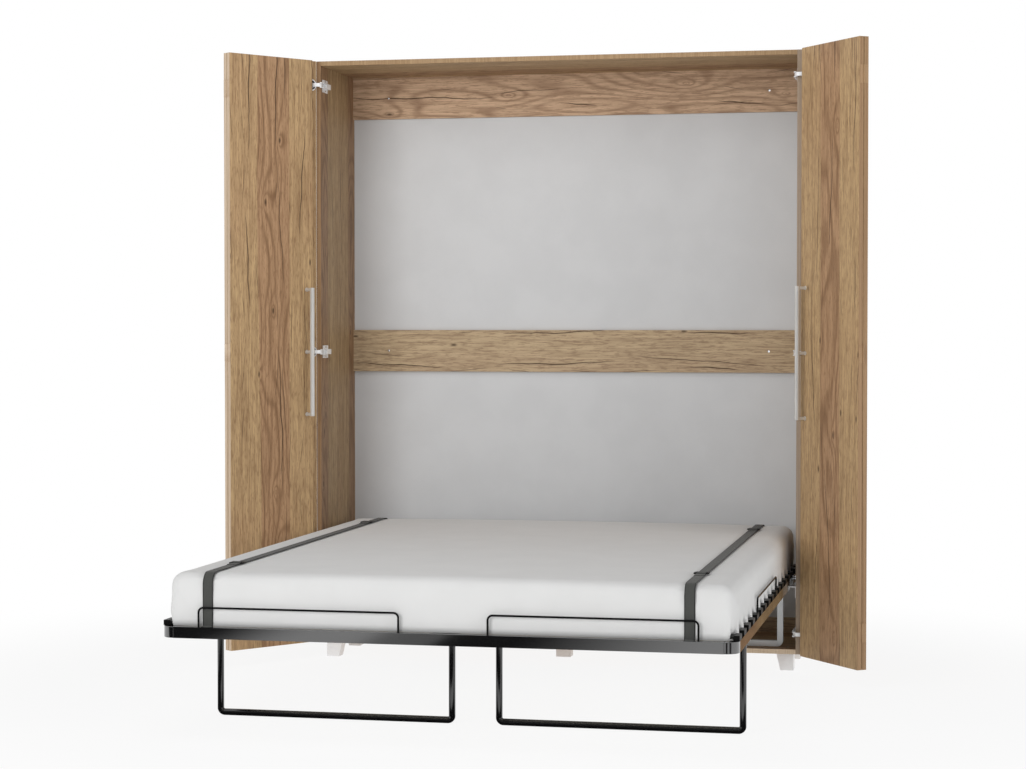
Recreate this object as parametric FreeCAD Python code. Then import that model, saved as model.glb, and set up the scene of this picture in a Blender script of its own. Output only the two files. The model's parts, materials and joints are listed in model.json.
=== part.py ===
"""A double wall bed in an open cabinet, built as separate pieces in millimetres.

The bed is shown folded down. It turns up into the cabinet about two pins near the
head end, two tube legs stay plumb while it rises, two gas struts carry its weight,
and a pair of bi-fold doors on each side stands folded and open.

While a piece is made, X runs right, Y runs back from the cabinet's front edge and Z
runs up from the floor. On export everything moves along Y, so that the origin lies on
the floor under the middle of the whole object.
"""
import FreeCAD, Part
import math
import os

# Mattress, which sets the size of the bed and the cabinet
mattress_width = 1600.0
mattress_length = 1900.0
mattress_thickness = 138.0
mattress_crown = 5.0
mattress_side_draw = 4.0
mattress_shoulder = 5.0
mattress_corner = 40.0
mattress_top_round = 35.0
mattress_bottom_round = 12.0
mattress_side_gap = 20.0
mattress_end_gap = 24.0
mattress_lift = 1.0

# Cabinet
cabinet_bottom = 60.0
board = 16.0
carcass_depth = 430.0
back_board = 4.0
frame_side_gap = 14.0
stow_gap = 12.0
wide_rail_height = 152.0
low_rail_height = 54.0
door_gap = 2.0

# Feet
foot_side_inset = 26.0
foot_top_width = 58.0
foot_floor_width = 44.0
foot_depth = 50.0
front_foot_y = 30.0
rear_foot_inset = 74.0
centre_foot_width = 52.0
centre_foot_y = 183.0

# Fasteners in the boards
cam_radius = 7.5
cam_depth = 12.0
cam_inset = 26.0
cam_spacing = 80.0
panel_cam_gap = 16.0
foot_screw_radius = 2.5
foot_screw_head_radius = 5.0
foot_screw_head = 3.0
foot_screw_reach = 30.0
foot_screw_spacing = 24.0
wall_hole_radius = 4.0
wall_hole_inset = 134.0

# Doors: a wide leaf on the cabinet and a leaf with the handle folded flat on it
door_open_deg = 126.3
hinge_axis_front = 3.0
wide_leaf_width = 380.0
handle_leaf_setback = 30.0
leaf_gap = 2.0
fold_axis_reach = 2.0
fold_knuckle_radius = 3.2
fold_notch_radius = 3.7
fold_pin_radius = 1.5
fold_bore_radius = 1.55
fold_plate = 1.5
fold_plate_width = 12.0
fold_hinge_height = 60.0
fold_knuckle_play = 0.5
fold_end_inset = 120.0

# Concealed hinges of the doors
hinge_end_inset = 70.0
hinge_top_inset = 84.0
cup_radius = 17.5
cup_depth = 11.0
cup_wall = 1.0
cup_centre = 21.0
cup_flange = 1.2
cup_flange_margin = 3.0
link_inner_radius = 19.0
link_outer_radius = 23.0
link_start_deg = 188.0
link_end_deg = 325.0
link_pin_radius = 2.0
link_pin_depth = 7.0
arm_plate = 2.0
arm_plate_start = 18.0
arm_plate_end = 78.0
arm_plate_height = 44.0
arm_height = 18.0
arm_thickness = 12.0
arm_start = 6.0
arm_end = 84.0
arm_reach = 18.0
arm_cheek = 2.5
arm_play = 0.3
arm_slot_end = 34.0
arm_cheek_inset = 2.0
hinge_screw_radius = 2.0
hinge_screw_head_radius = 3.8
hinge_screw_head = 1.6
hinge_screw_reach = 11.0
hinge_screw_y = 46.0
hinge_screw_z = 16.5

# Handles
handle_length = 448.0
handle_radius = 8.0
handle_standoff = 32.0
handle_inset = 27.0
handle_post_radius = 5.5
handle_post_foot_radius = 7.0
handle_post_foot = 2.0
handle_post_inset = 6.0

# Bed frame
frame_head_reach = 217.0
rail_width = 30.0
rail_bottom = 289.0
rail_height = 32.0
rail_wall = 2.0
corner_radius = 40.0
leg_beam_inset = 422.0
strut_beam_reach = 230.0
rear_beam_reach = 93.0

# Pivot of the bed and the stand that carries it
pivot_y = 137.0
pin_radius = 6.0
pin_play = 0.05
pin_shoulder_radius = 10.0
pin_shoulder_play = 0.3
bush_radius = 9.0
pivot_plate = 4.0
pivot_plate_width = 80.0
stand_tube = 20.0
stand_wall = 2.0
stand_side_gap = 4.0
stand_bend = 21.0
stand_y = 63.0
stand_half_bar = 12.0
arm_bar = 8.0
stop_thickness = 4.0
stop_depth = 40.0
stop_y = 20.0
stop_height = 40.0
stop_gap = 0.5

# Slats
slat_pitch = 115.0
slat_end_inset = 57.5
slat_width = 53.0
slat_thickness = 8.0
slat_lift = 5.0
slat_centre_gap = 16.0
cap_width = 58.0
cap_depth = 17.0
cap_height = 15.0
cap_pocket = 10.0
cap_play = 0.3
holder_width = 68.0
holder_height = 16.0

# What keeps the mattress in place
strap_inset = 115.0
strap_width = 30.0
strap_thickness = 2.0
strap_clearance = 0.6
strap_tab = 22.0
buckle_foot_inset = 250.0
buckle_head_inset = 237.0
buckle_width = 44.0
buckle_length = 34.0
buckle_thickness = 4.0
buckle_bar = 5.0
hoop_wire = 3.0
hoop_bend = 14.0
hoop_rise = 57.0
hoop_inner_x = 124.0
hoop_outer_inset = 107.0
hoop_foot_inset = 14.0
hoop_side_inset = 8.0
hoop_side_slat = 7
hoop_side_gaps = 5
hoop_side_extra = 8.0
hoop_hole_play = 0.1
hoop_sink = 20.0

# Legs
leg_radius = 10.0
leg_wall = 1.5
leg_inner_x = 71.0
leg_outer_inset = 33.0
leg_bend = 13.0
leg_pivot_drop = 19.0
leg_pivot_cover = 8.0
leg_pin_radius = 4.0
bracket_sheet = 3.0
bracket_play = 0.5
bracket_depth = 28.0
bracket_drop = 27.0

# Gas struts
strut_inset = 150.0
strut_foot_rise = 16.0
strut_head_offset = 15.0
strut_head_drop = 4.0
strut_radius = 11.0
strut_wall = 1.5
strut_rod_radius = 5.0
strut_bore_play = 0.05
strut_eye_radius = 10.0
strut_eye_width = 12.0
strut_eye_bore_play = 0.05
strut_stud_radius = 4.0
strut_guide = 12.0
strut_cap = 6.0
strut_neck = 14.0
strut_end_gap = 6.0
strut_keep = 8.0
strut_piston = 10.0
strut_piston_play = 0.2
strut_plate = 4.0
strut_plate_offset = 12.0
strut_stud_gap = 0.5
strut_plate_width = 28.0

# Sizes that follow: the bed
frame_half = mattress_width / 2 + mattress_side_gap
frame_head = pivot_y + frame_head_reach
frame_foot = mattress_length + mattress_end_gap + 2 * rail_width - frame_head
rail_inner = frame_half - rail_width
rail_top = rail_bottom + rail_height
pivot_z = rail_bottom + rail_height / 2
leg_beam_y = frame_foot - leg_beam_inset
strut_beam_y = strut_beam_reach - pivot_y
rear_beam_y = pivot_y + rear_beam_reach
leg_outer_x = frame_half - leg_outer_inset
leg_pivot_z = rail_bottom - leg_pivot_drop
leg_top = leg_pivot_z + leg_pivot_cover
slat_bottom = rail_top + slat_lift
slat_end = frame_half - cap_depth + cap_pocket
slat_first_y = frame_foot - slat_end_inset
slat_room = frame_foot + frame_head - 2 * slat_end_inset
slat_count = int(slat_room // slat_pitch) + 1
mattress_front = rail_width - frame_foot
mattress_rear = mattress_front + mattress_length
mattress_bottom = rail_top + holder_height + mattress_lift
mattress_top = mattress_bottom + mattress_thickness
strap_x = mattress_width / 2 - strap_inset
strap_edge_share = (strap_x - strap_width / 2) / (mattress_width / 2 - mattress_side_draw)
strap_bottom = mattress_top - mattress_crown * strap_edge_share ** 2 + strap_clearance
hoop_outer_x = frame_half - hoop_outer_inset
hoop_side_y = slat_first_y - hoop_side_slat * slat_pitch
hoop_side_length = hoop_side_gaps * slat_pitch + hoop_side_extra

# Sizes that follow: the cabinet, the stand and the struts
inner_x = frame_half + frame_side_gap
half_width = inner_x + board
cabinet_top = pivot_z + pivot_y + frame_foot + stow_gap + board
cabinet_middle = (cabinet_bottom + cabinet_top) / 2
board_floor = cabinet_bottom + board
board_roof = cabinet_top - board
rail_front = carcass_depth - board
foot_outer_x = half_width - foot_side_inset
rear_foot_y = carcass_depth - rear_foot_inset - foot_depth
wall_hole_x = inner_x - wall_hole_inset
stand_top = pivot_z + stand_half_bar
strut_x = rail_inner - strut_inset
strut_foot_y = stand_y + stand_tube / 2
strut_foot_z = board_floor + stand_tube + strut_foot_rise
strut_head_y = rail_width / 2 - strut_beam_y + strut_head_offset
strut_head_z = pivot_z - strut_head_drop
origin_shift = (frame_foot - carcass_depth - back_board) / 2

# Sizes that follow: the doors
hinge_axis_x = half_width
hinge_heights = (cabinet_bottom + hinge_end_inset, cabinet_middle,
                 cabinet_top - hinge_top_inset)
fold_heights = (cabinet_bottom + fold_end_inset, cabinet_middle, cabinet_top - fold_end_inset)
wide_inner_b = door_gap - hinge_axis_front
wide_outer_b = wide_inner_b + board
handle_inner_b = wide_inner_b - leaf_gap
handle_outer_b = handle_inner_b - board
fold_axis_a = wide_leaf_width + fold_axis_reach
fold_axis_b = (wide_inner_b + handle_inner_b) / 2
link_height = arm_height - 2 * (arm_cheek + arm_play)


def vec(x, y, z):
    return FreeCAD.Vector(x, y, z)


def box(x0, x1, y0, y1, z0, z1):
    """A block between two corners, each pair of limits in rising order."""
    return Part.makeBox(x1 - x0, y1 - y0, z1 - z0, vec(x0, y0, z0))


def rod(radius, start, end):
    """A round bar between two points."""
    run = end - start
    return Part.makeCylinder(radius, run.Length, start, run)


def joined(shapes):
    """One solid fused from touching shapes."""
    return shapes[0].multiFuse(shapes[1:]).removeSplitter()


def group(shapes):
    """Separate solids that share one node."""
    return Part.makeCompound(shapes)


def mirrored(shape):
    """The same shape on the other side of the cabinet."""
    return shape.mirror(vec(0, 0, 0), vec(1, 0, 0))


def both_sides(shapes):
    """The given shapes and their mirror images, as one group."""
    return group(list(shapes) + [mirrored(shape) for shape in shapes])


def square_tube(x0, x1, y0, y1, z0, z1, along, wall):
    """A rectangular tube, hollow and open along the named axis."""
    inset = {axis: (0 if axis == along else wall) for axis in "xyz"}
    core = box(x0 + inset["x"], x1 - inset["x"], y0 + inset["y"], y1 - inset["y"],
               z0 + inset["z"], z1 - inset["z"])
    return box(x0, x1, y0, y1, z0, z1).cut(core)


def cross_section(radius, bore, point, direction):
    """The round cross-section of a bar or, with a bore, of a tube."""
    rims = [Part.Wire(Part.makeCircle(size, point, direction)) for size in (radius, bore) if size]
    return Part.makeFace(rims, "Part::FaceMakerBullseye")


def swept_bar(points, bend, radius, bore=0):
    """A round bar or tube along straight runs in one plane, with round bends between."""
    pieces = []
    start = points[0]
    for before, corner, after in zip(points, points[1:], points[2:]):
        into = (corner - before).normalize()
        out = (after - corner).normalize()
        arc_start = corner - into * bend
        centre = arc_start + out * bend
        pieces.append(cross_section(radius, bore, start, into).extrude(arc_start - start))
        pieces.append(cross_section(radius, bore, arc_start, into).revolve(centre, into.cross(out), 90))
        start = corner + out * bend
    pieces.append(cross_section(radius, bore, start, out).extrude(points[-1] - start))
    return joined(pieces)


def quarter_ring(inner, outer, centre, axis, start_deg, length):
    """A quarter of a flat ring, run along an axis from a centre.

    The start angle counts by the right-hand rule about the axis. It starts at X for an
    axis along Y or Z, and at minus Z for an axis along X.
    """
    base = vec(0, 0, 0)
    up = vec(0, 0, 1)
    ring = Part.makeCylinder(outer, length, base, up, 90)
    ring = ring.cut(Part.makeCylinder(inner, length, base, up))
    ring.rotate(base, up, start_deg)
    placement = FreeCAD.Placement(centre, FreeCAD.Rotation(up, axis))
    return ring.transformShape(placement.toMatrix())


# Cabinet

def cam_pockets(x, y, z, away):
    """The round pocket of one cam in a board, which runs along the vector away."""
    return rod(cam_radius, vec(x, y, z), vec(x, y, z) + away * cam_depth)


def rail_cams(z_centre, spacings):
    """Cams in the back of a cross rail, near both of its ends."""
    return [cam_pockets(side * (inner_x - cam_inset), carcass_depth, z_centre + dz,
                        vec(0, -1, 0))
            for side in (-1, 1) for dz in spacings]


def panel_cams(z, away):
    """Cams in the hidden face of the top or the bottom panel."""
    rows = (front_foot_y + foot_depth + panel_cam_gap, rear_foot_y - panel_cam_gap)
    return [cam_pockets(side * (inner_x - cam_inset), y, z, away)
            for side in (-1, 1) for y in rows]


def cabinet_rail(bottom, height, cams):
    """A cross rail at the back of the cabinet, with the pockets of its cams."""
    rail = box(-inner_x, inner_x, rail_front, carcass_depth, bottom, bottom + height)
    for cam in cams:
        rail = rail.cut(cam)
    return rail


def wall_holes(z):
    """The two screw holes to the wall through a rail and the back."""
    return [rod(wall_hole_radius, vec(side * wall_hole_x, rail_front, z),
                vec(side * wall_hole_x, carcass_depth + back_board, z))
            for side in (-1, 1)]


def foot_block(front_y):
    """A foot with an upright outer side and a slanting inner side, on the right."""
    inner_top = foot_outer_x - foot_top_width
    inner_floor = foot_outer_x - foot_floor_width
    corners = [vec(foot_outer_x, front_y, 0), vec(foot_outer_x, front_y, cabinet_bottom),
               vec(inner_top, front_y, cabinet_bottom), vec(inner_floor, front_y, 0)]
    face = Part.Face(Part.makePolygon(corners + corners[:1]))
    return face.extrude(vec(0, foot_depth, 0))


def foot_screw(x, y):
    """A countersunk screw through the bottom panel into a foot."""
    top = board_floor
    shank = rod(foot_screw_radius, vec(x, y, cabinet_bottom - foot_screw_reach), vec(x, y, top))
    head = Part.makeCone(foot_screw_radius, foot_screw_head_radius, foot_screw_head,
                         vec(x, y, top - foot_screw_head))
    return joined([shank, head])


def cabinet():
    """The boards of the cabinet, its feet and the fasteners in them."""
    side = box(inner_x, half_width, 0, carcass_depth, cabinet_bottom, cabinet_top)
    top_rail_bottom = board_roof - wide_rail_height
    top_rail_centre = board_roof - wide_rail_height / 2
    middle_rail_bottom = cabinet_middle - wide_rail_height / 2
    low_rail_centre = board_floor + low_rail_height / 2
    pair = (-cam_spacing / 2, cam_spacing / 2)
    top_cams = rail_cams(top_rail_centre, pair)
    middle_cams = rail_cams(cabinet_middle, pair)
    low_cams = rail_cams(low_rail_centre, (0,))
    roof_cams = panel_cams(cabinet_top, vec(0, 0, -1))
    floor_cams = panel_cams(cabinet_bottom, vec(0, 0, 1))
    holes = wall_holes(top_rail_centre) + wall_holes(cabinet_middle)

    top = box(-inner_x, inner_x, 0, carcass_depth, board_roof, cabinet_top)
    bottom = box(-inner_x, inner_x, 0, carcass_depth, cabinet_bottom, board_floor)
    back = box(-half_width, half_width, carcass_depth, carcass_depth + back_board,
               cabinet_bottom, cabinet_top)
    top_rail = cabinet_rail(top_rail_bottom, wide_rail_height, top_cams)
    middle_rail = cabinet_rail(middle_rail_bottom, wide_rail_height, middle_cams)
    low_rail = cabinet_rail(board_floor, low_rail_height, low_cams)

    foot_x = foot_outer_x - foot_floor_width / 2
    corner_screws = [foot_screw(foot_x, y + foot_depth / 2 + step * foot_screw_spacing / 2)
                     for y in (front_foot_y, rear_foot_y) for step in (-1, 1)]
    centre_y = centre_foot_y + foot_depth / 2
    centre_screws = [foot_screw(step * foot_screw_spacing / 2, centre_y) for step in (-1, 1)]
    screws = corner_screws + [mirrored(screw) for screw in corner_screws] + centre_screws

    feet = [foot_block(front_foot_y), foot_block(rear_foot_y)]
    centre_foot = box(-centre_foot_width / 2, centre_foot_width / 2,
                      centre_foot_y, centre_foot_y + foot_depth, 0, cabinet_bottom)
    for cam in roof_cams:
        top = top.cut(cam)
    for cam in floor_cams:
        bottom = bottom.cut(cam)
    for screw in screws:
        bottom = bottom.cut(screw)
    for screw in corner_screws:
        feet = [foot.cut(screw) for foot in feet]
    for screw in centre_screws:
        centre_foot = centre_foot.cut(screw)
    for hole in holes:
        top_rail = top_rail.cut(hole)
        middle_rail = middle_rail.cut(hole)
        back = back.cut(hole)

    return {
        "side_panel_right": side,
        "side_panel_left": mirrored(side),
        "top_panel": top,
        "bottom_panel": bottom,
        "back_panel": back,
        "top_rail": top_rail,
        "middle_rail": middle_rail,
        "bottom_rail": low_rail,
        "corner_feet": both_sides(feet),
        "centre_foot": centre_foot,
        "foot_screws": group(screws),
        "cam_fasteners": group(top_cams + middle_cams + low_cams + roof_cams + floor_cams),
    }


# Door hinges on the cabinet, right side

def hinge_screw(y, z):
    """A screw through the wing plate of a hinge arm into the side panel."""
    face = inner_x - arm_plate
    shank = rod(hinge_screw_radius, vec(face, y, z), vec(inner_x + hinge_screw_reach, y, z))
    head = rod(hinge_screw_head_radius, vec(face - hinge_screw_head, y, z), vec(face, y, z))
    return joined([head, shank])


def hinge_arm(z):
    """The fixed arm of a concealed hinge, with two cheeks beside the moving link."""
    half = arm_height / 2
    plate = box(inner_x - arm_plate, inner_x, arm_plate_start, arm_plate_end,
                z - arm_plate_height / 2, z + arm_plate_height / 2)
    body = box(inner_x - arm_thickness, inner_x - arm_plate, -arm_reach, arm_end,
               z - half, z + half)
    nose = box(inner_x - arm_plate, inner_x, arm_start, arm_plate_start, z - half, z + half)
    slot = box(inner_x - arm_thickness, inner_x, -arm_reach, arm_slot_end,
               z - half + arm_cheek, z + half - arm_cheek)
    trim = box(inner_x - arm_thickness, inner_x - arm_thickness + arm_cheek_inset,
               -arm_reach, 0, z - half, z + half)
    keep = box(inner_x - arm_plate, inner_x, arm_plate_start, arm_slot_end,
               z - half, z + half)
    arm = joined([plate, body, nose]).cut(slot).cut(trim)
    return joined([arm, keep])


def cabinet_hinges():
    """Hinge arms on both side panels, the screws in them and the panels' holes."""
    arms = [hinge_arm(z) for z in hinge_heights]
    screws = [hinge_screw(hinge_screw_y, z + step * hinge_screw_z)
              for z in hinge_heights for step in (-1, 1)]
    for screw in screws:
        arms = [arm.cut(screw) for arm in arms]
    return arms, screws


# Doors, made flat in the leaf's own axes: X from the hinge edge along the leaf,
# Y toward the outer face of the wide leaf and Z up. The handle leaf lies folded on it.

def on_door(shape):
    """Turns a shape from the leaf's own axes to its place on the open right door."""
    shape.rotate(vec(0, 0, 0), vec(0, 0, 1), door_open_deg - 180)
    shape.translate(vec(hinge_axis_x, -hinge_axis_front, 0))
    return shape


def hinge_cup(z):
    """The pressed cup of a concealed hinge, open toward the inner face of the leaf."""
    inner = wide_inner_b
    centre = vec(cup_centre, inner, z)
    deep = vec(0, 1, 0)
    shell = rod(cup_radius, centre, centre + deep * cup_depth)
    hollow = rod(cup_radius - cup_wall, centre, centre + deep * (cup_depth - cup_wall))
    rim_radius = cup_radius + cup_flange_margin
    flange = rod(rim_radius, centre - deep * cup_flange, centre)
    mouth = rod(cup_radius - cup_wall, centre - deep * cup_flange, centre)
    trim = box(-rim_radius, 0, inner - cup_flange, inner, z - rim_radius, z + rim_radius)
    return joined([shell.cut(hollow), flange.cut(mouth)]).cut(trim)


def hinge_link(z):
    """The curved link round the edge of the side panel, with its pin in the cup."""
    low = vec(0, 0, z - link_height / 2)
    up = vec(0, 0, 1)
    turn = link_end_deg - link_start_deg
    ring = Part.makeCylinder(link_outer_radius, link_height, low, up, turn)
    ring = ring.cut(Part.makeCylinder(link_inner_radius, link_height, low, up))
    ring.rotate(vec(0, 0, 0), up, link_start_deg + 180 - door_open_deg)
    half_pin = cup_radius - cup_wall
    pin_centre = vec(cup_centre, wide_inner_b + link_pin_depth, z)
    pin = rod(link_pin_radius, pin_centre - up * half_pin, pin_centre + up * half_pin)
    mouth = rod(half_pin, vec(cup_centre, wide_inner_b, z),
                vec(cup_centre, wide_inner_b + cup_depth, z))
    return joined([ring, pin.common(mouth)])


def fold_half(z0, segments, plate_b0, plate_b1):
    """One half of a fold hinge: a plate on the leaf's edge and its knuckles."""
    edge = wide_leaf_width
    pieces = []
    for low, high in segments:
        knuckle = rod(fold_knuckle_radius, vec(fold_axis_a, fold_axis_b, z0 + low),
                      vec(fold_axis_a, fold_axis_b, z0 + high))
        web = box(edge, edge + fold_plate, min(plate_b0, fold_axis_b),
                  max(plate_b1, fold_axis_b), z0 + low, z0 + high)
        pieces += [knuckle, web]
    pieces.append(box(edge, edge + fold_plate, plate_b0, plate_b1,
                      z0, z0 + fold_hinge_height))
    bore = rod(fold_bore_radius, vec(fold_axis_a, fold_axis_b, z0),
               vec(fold_axis_a, fold_axis_b, z0 + fold_hinge_height))
    return joined(pieces).cut(bore)


def fold_hinge(z):
    """A fold hinge of two halves and a pin, centred at a height."""
    third = fold_hinge_height / 3
    z0 = z - fold_hinge_height / 2
    outer_segments = ((0, third - fold_knuckle_play),
                      (2 * third + fold_knuckle_play, fold_hinge_height))
    near = fold_notch_radius
    far = fold_notch_radius + fold_plate_width
    fixed = fold_half(z0, outer_segments, fold_axis_b + near, fold_axis_b + far)
    moving = fold_half(z0, ((third, 2 * third),), fold_axis_b - far, fold_axis_b - near)
    pin = rod(fold_pin_radius, vec(fold_axis_a, fold_axis_b, z0),
              vec(fold_axis_a, fold_axis_b, z0 + fold_hinge_height))
    return fixed, moving, pin


def door():
    """The pieces of the right door, folded and open."""
    wide = box(0, wide_leaf_width, wide_inner_b, wide_outer_b, cabinet_bottom, cabinet_top)
    narrow = box(handle_leaf_setback, wide_leaf_width, handle_outer_b, handle_inner_b,
                 cabinet_bottom, cabinet_top)
    for z in hinge_heights:
        wide = wide.cut(rod(cup_radius, vec(cup_centre, wide_inner_b, z),
                            vec(cup_centre, wide_inner_b + cup_depth, z)))
    fixed_halves, moving_halves, pins = [], [], []
    for z in fold_heights:
        fixed, moving, pin = fold_hinge(z)
        fixed_halves.append(fixed)
        moving_halves.append(moving)
        pins.append(pin)
        notch = rod(fold_notch_radius, vec(fold_axis_a, fold_axis_b, z - fold_hinge_height / 2),
                    vec(fold_axis_a, fold_axis_b, z + fold_hinge_height / 2))
        wide = wide.cut(notch)
        narrow = narrow.cut(notch)

    bar_a = handle_leaf_setback + handle_inset
    bar_b = handle_outer_b - handle_standoff
    middle = cabinet_middle
    bar = rod(handle_radius, vec(bar_a, bar_b, middle - handle_length / 2),
              vec(bar_a, bar_b, middle + handle_length / 2))
    posts = []
    reach = handle_length / 2 - handle_post_inset
    for z in (middle - reach, middle, middle + reach):
        stem = rod(handle_post_radius, vec(bar_a, handle_outer_b, z), vec(bar_a, bar_b, z))
        foot = rod(handle_post_foot_radius, vec(bar_a, handle_outer_b, z),
                   vec(bar_a, handle_outer_b - handle_post_foot, z))
        posts.append(joined([stem, foot]).cut(bar))

    cups = [hinge_cup(z) for z in hinge_heights]
    links = [hinge_link(z) for z in hinge_heights]
    return {
        "wide_leaf": wide,
        "handle_leaf": narrow,
        "hinge_cups": group(cups + links),
        "fold_hinge_fixed": group(fixed_halves + pins),
        "fold_hinge_moving": group(moving_halves),
        "handle_bar": bar,
        "handle_posts": group(posts),
    }


# Stand, pivots and stops

def stand_upright():
    """The right upright of the stand: a bent square tube with a bar to the pivot."""
    x1 = rail_inner - stand_side_gap
    x0 = x1 - stand_tube
    y1 = stand_y + stand_tube
    centre = vec(x1 - stand_bend, stand_y, board_floor + stand_bend)
    back = vec(0, 1, 0)

    def profile(inset, y_inset):
        outer = stand_bend - inset
        inner = stand_bend - stand_tube + inset
        length = stand_tube - 2 * y_inset
        bend = quarter_ring(inner, outer, centre + back * y_inset, back, 0, length)
        post = box(x0 + inset, x1 - inset, stand_y + y_inset, y1 - y_inset,
                   board_floor + stand_bend, stand_top - inset)
        return joined([bend, post])

    tube = profile(0, 0).cut(profile(stand_wall, stand_wall))
    bar = box(x1 - arm_bar, x1, y1, pivot_y, pivot_z - stand_half_bar, stand_top)
    end = rod(stand_half_bar, vec(x1 - arm_bar, pivot_y, pivot_z), vec(x1, pivot_y, pivot_z))
    hole = rod(pin_radius, vec(x0, pivot_y, pivot_z), vec(x1, pivot_y, pivot_z))
    return joined([tube, bar, end]).cut(hole)


def pivot_pin():
    """The right pivot pin, with a shoulder in the gap on each side of the bed rail."""
    x_in = rail_inner - stand_side_gap
    x_plate = inner_x - pivot_plate

    def stage(radius, x0, x1):
        return rod(radius, vec(x0, pivot_y, pivot_z), vec(x1, pivot_y, pivot_z))

    return joined([
        stage(pin_radius, x_in - arm_bar, inner_x),
        stage(pin_shoulder_radius, x_in, rail_inner - pin_shoulder_play),
        stage(pin_shoulder_radius, frame_half + pin_shoulder_play, x_plate),
    ])


def bed_stop():
    """An angle on the right side panel, on which the bed rail rests."""
    top = rail_bottom - stop_gap
    shelf = box(rail_inner, inner_x, stop_y, stop_y + stop_depth, top - stop_thickness, top)
    back = box(inner_x - stop_thickness, inner_x, stop_y, stop_y + stop_depth,
               top - stop_height, top)
    return joined([shelf, back])


def stand():
    """The base stand, the pivot plates and pins, and the stops of the bed."""
    reach = rail_inner - stand_side_gap - stand_bend
    crossbar = square_tube(-reach, reach, stand_y, stand_y + stand_tube,
                           board_floor, board_floor + stand_tube, "x", stand_wall)
    upright = stand_upright()
    half_plate = pivot_plate_width / 2
    plate = box(inner_x - pivot_plate, inner_x, pivot_y - half_plate, pivot_y + half_plate,
                pivot_z - half_plate, pivot_z + half_plate)
    plate = plate.cut(rod(pin_radius, vec(inner_x - pivot_plate, pivot_y, pivot_z),
                          vec(inner_x, pivot_y, pivot_z)))
    return {
        "stand_crossbar": crossbar,
        "stand_upright_right": upright,
        "stand_upright_left": mirrored(upright),
        "pivot_plates": both_sides([plate]),
        "pivot_pins": both_sides([pivot_pin()]),
        "bed_stops": both_sides([bed_stop()]),
    }


# Bed

def hoop_points(low, high, place):
    """The path of a mattress hoop, from one foot to the other, in its own plane."""
    foot = rail_top - hoop_sink
    top = rail_top + hoop_rise - hoop_wire
    return [place(low, foot), place(low, top), place(high, top), place(high, foot)]


def mattress_hoops():
    """Two wire hoops on the foot rail and one on each side rail."""
    foot_y = -frame_foot + hoop_foot_inset
    side_x = frame_half - hoop_side_inset
    x0 = hoop_inner_x + hoop_wire
    x1 = hoop_outer_x - hoop_wire
    y0 = -hoop_side_y - hoop_side_length / 2 + hoop_wire
    y1 = -hoop_side_y + hoop_side_length / 2 - hoop_wire
    foot = swept_bar(hoop_points(x0, x1, lambda s, z: vec(s, foot_y, z)), hoop_bend, hoop_wire)
    side = swept_bar(hoop_points(y0, y1, lambda s, z: vec(side_x, s, z)), hoop_bend, hoop_wire)
    bores = [rod(hoop_wire + hoop_hole_play, vec(x, y, rail_top - hoop_sink),
                 vec(x, y, rail_top))
             for x, y in ((x0, foot_y), (x1, foot_y), (side_x, y0), (side_x, y1))]
    return foot, side, bores


def frame_corner(y, start_deg):
    """A round corner of the right side of the frame, between two rails."""
    centre = vec(frame_half - corner_radius, y, rail_bottom)
    return quarter_ring(corner_radius - rail_width, corner_radius, centre, vec(0, 0, 1),
                        start_deg, rail_height)


def cross_tube(y_centre):
    """The right half of a cross member between the centre beam and a side rail."""
    return square_tube(rail_width / 2, rail_inner, y_centre - rail_width / 2,
                       y_centre + rail_width / 2, rail_bottom, rail_top, "x", rail_wall)


def bed_frame():
    """The rails, corners, centre beam and cross members of the bed frame."""
    foot_hoop, side_hoop, bores = mattress_hoops()
    straight = frame_half - corner_radius
    side_start = -frame_foot + corner_radius
    side_end = frame_head - corner_radius
    side = square_tube(rail_inner, frame_half, side_start, side_end,
                       rail_bottom, rail_top, "y", rail_wall)
    bush_ends = (vec(rail_inner, pivot_y, pivot_z), vec(frame_half, pivot_y, pivot_z))
    side = joined([side, rod(bush_radius, *bush_ends)])
    side = side.cut(rod(pin_radius + pin_play, *bush_ends))
    foot = square_tube(-straight, straight, -frame_foot, -frame_foot + rail_width,
                       rail_bottom, rail_top, "x", rail_wall)
    for bore in bores:
        side = side.cut(bore)
        foot = foot.cut(bore).cut(mirrored(bore))
    head = square_tube(-straight, straight, frame_head - rail_width, frame_head,
                       rail_bottom, rail_top, "x", rail_wall)
    beam = square_tube(-rail_width / 2, rail_width / 2, -frame_foot + rail_width,
                       frame_head - rail_width, rail_bottom, rail_top, "y", rail_wall)
    corners = [frame_corner(side_start, 270), frame_corner(side_end, 0)]
    members = [cross_tube(y) for y in (-leg_beam_y, -strut_beam_y, rear_beam_y)]
    return {
        "side_rail_right": side,
        "side_rail_left": mirrored(side),
        "foot_rail": foot,
        "head_rail": head,
        "frame_corners": both_sides(corners),
        "centre_beam": beam,
        "cross_members": both_sides(members),
        "mattress_hoops": both_sides([foot_hoop, side_hoop]),
    }


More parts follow.
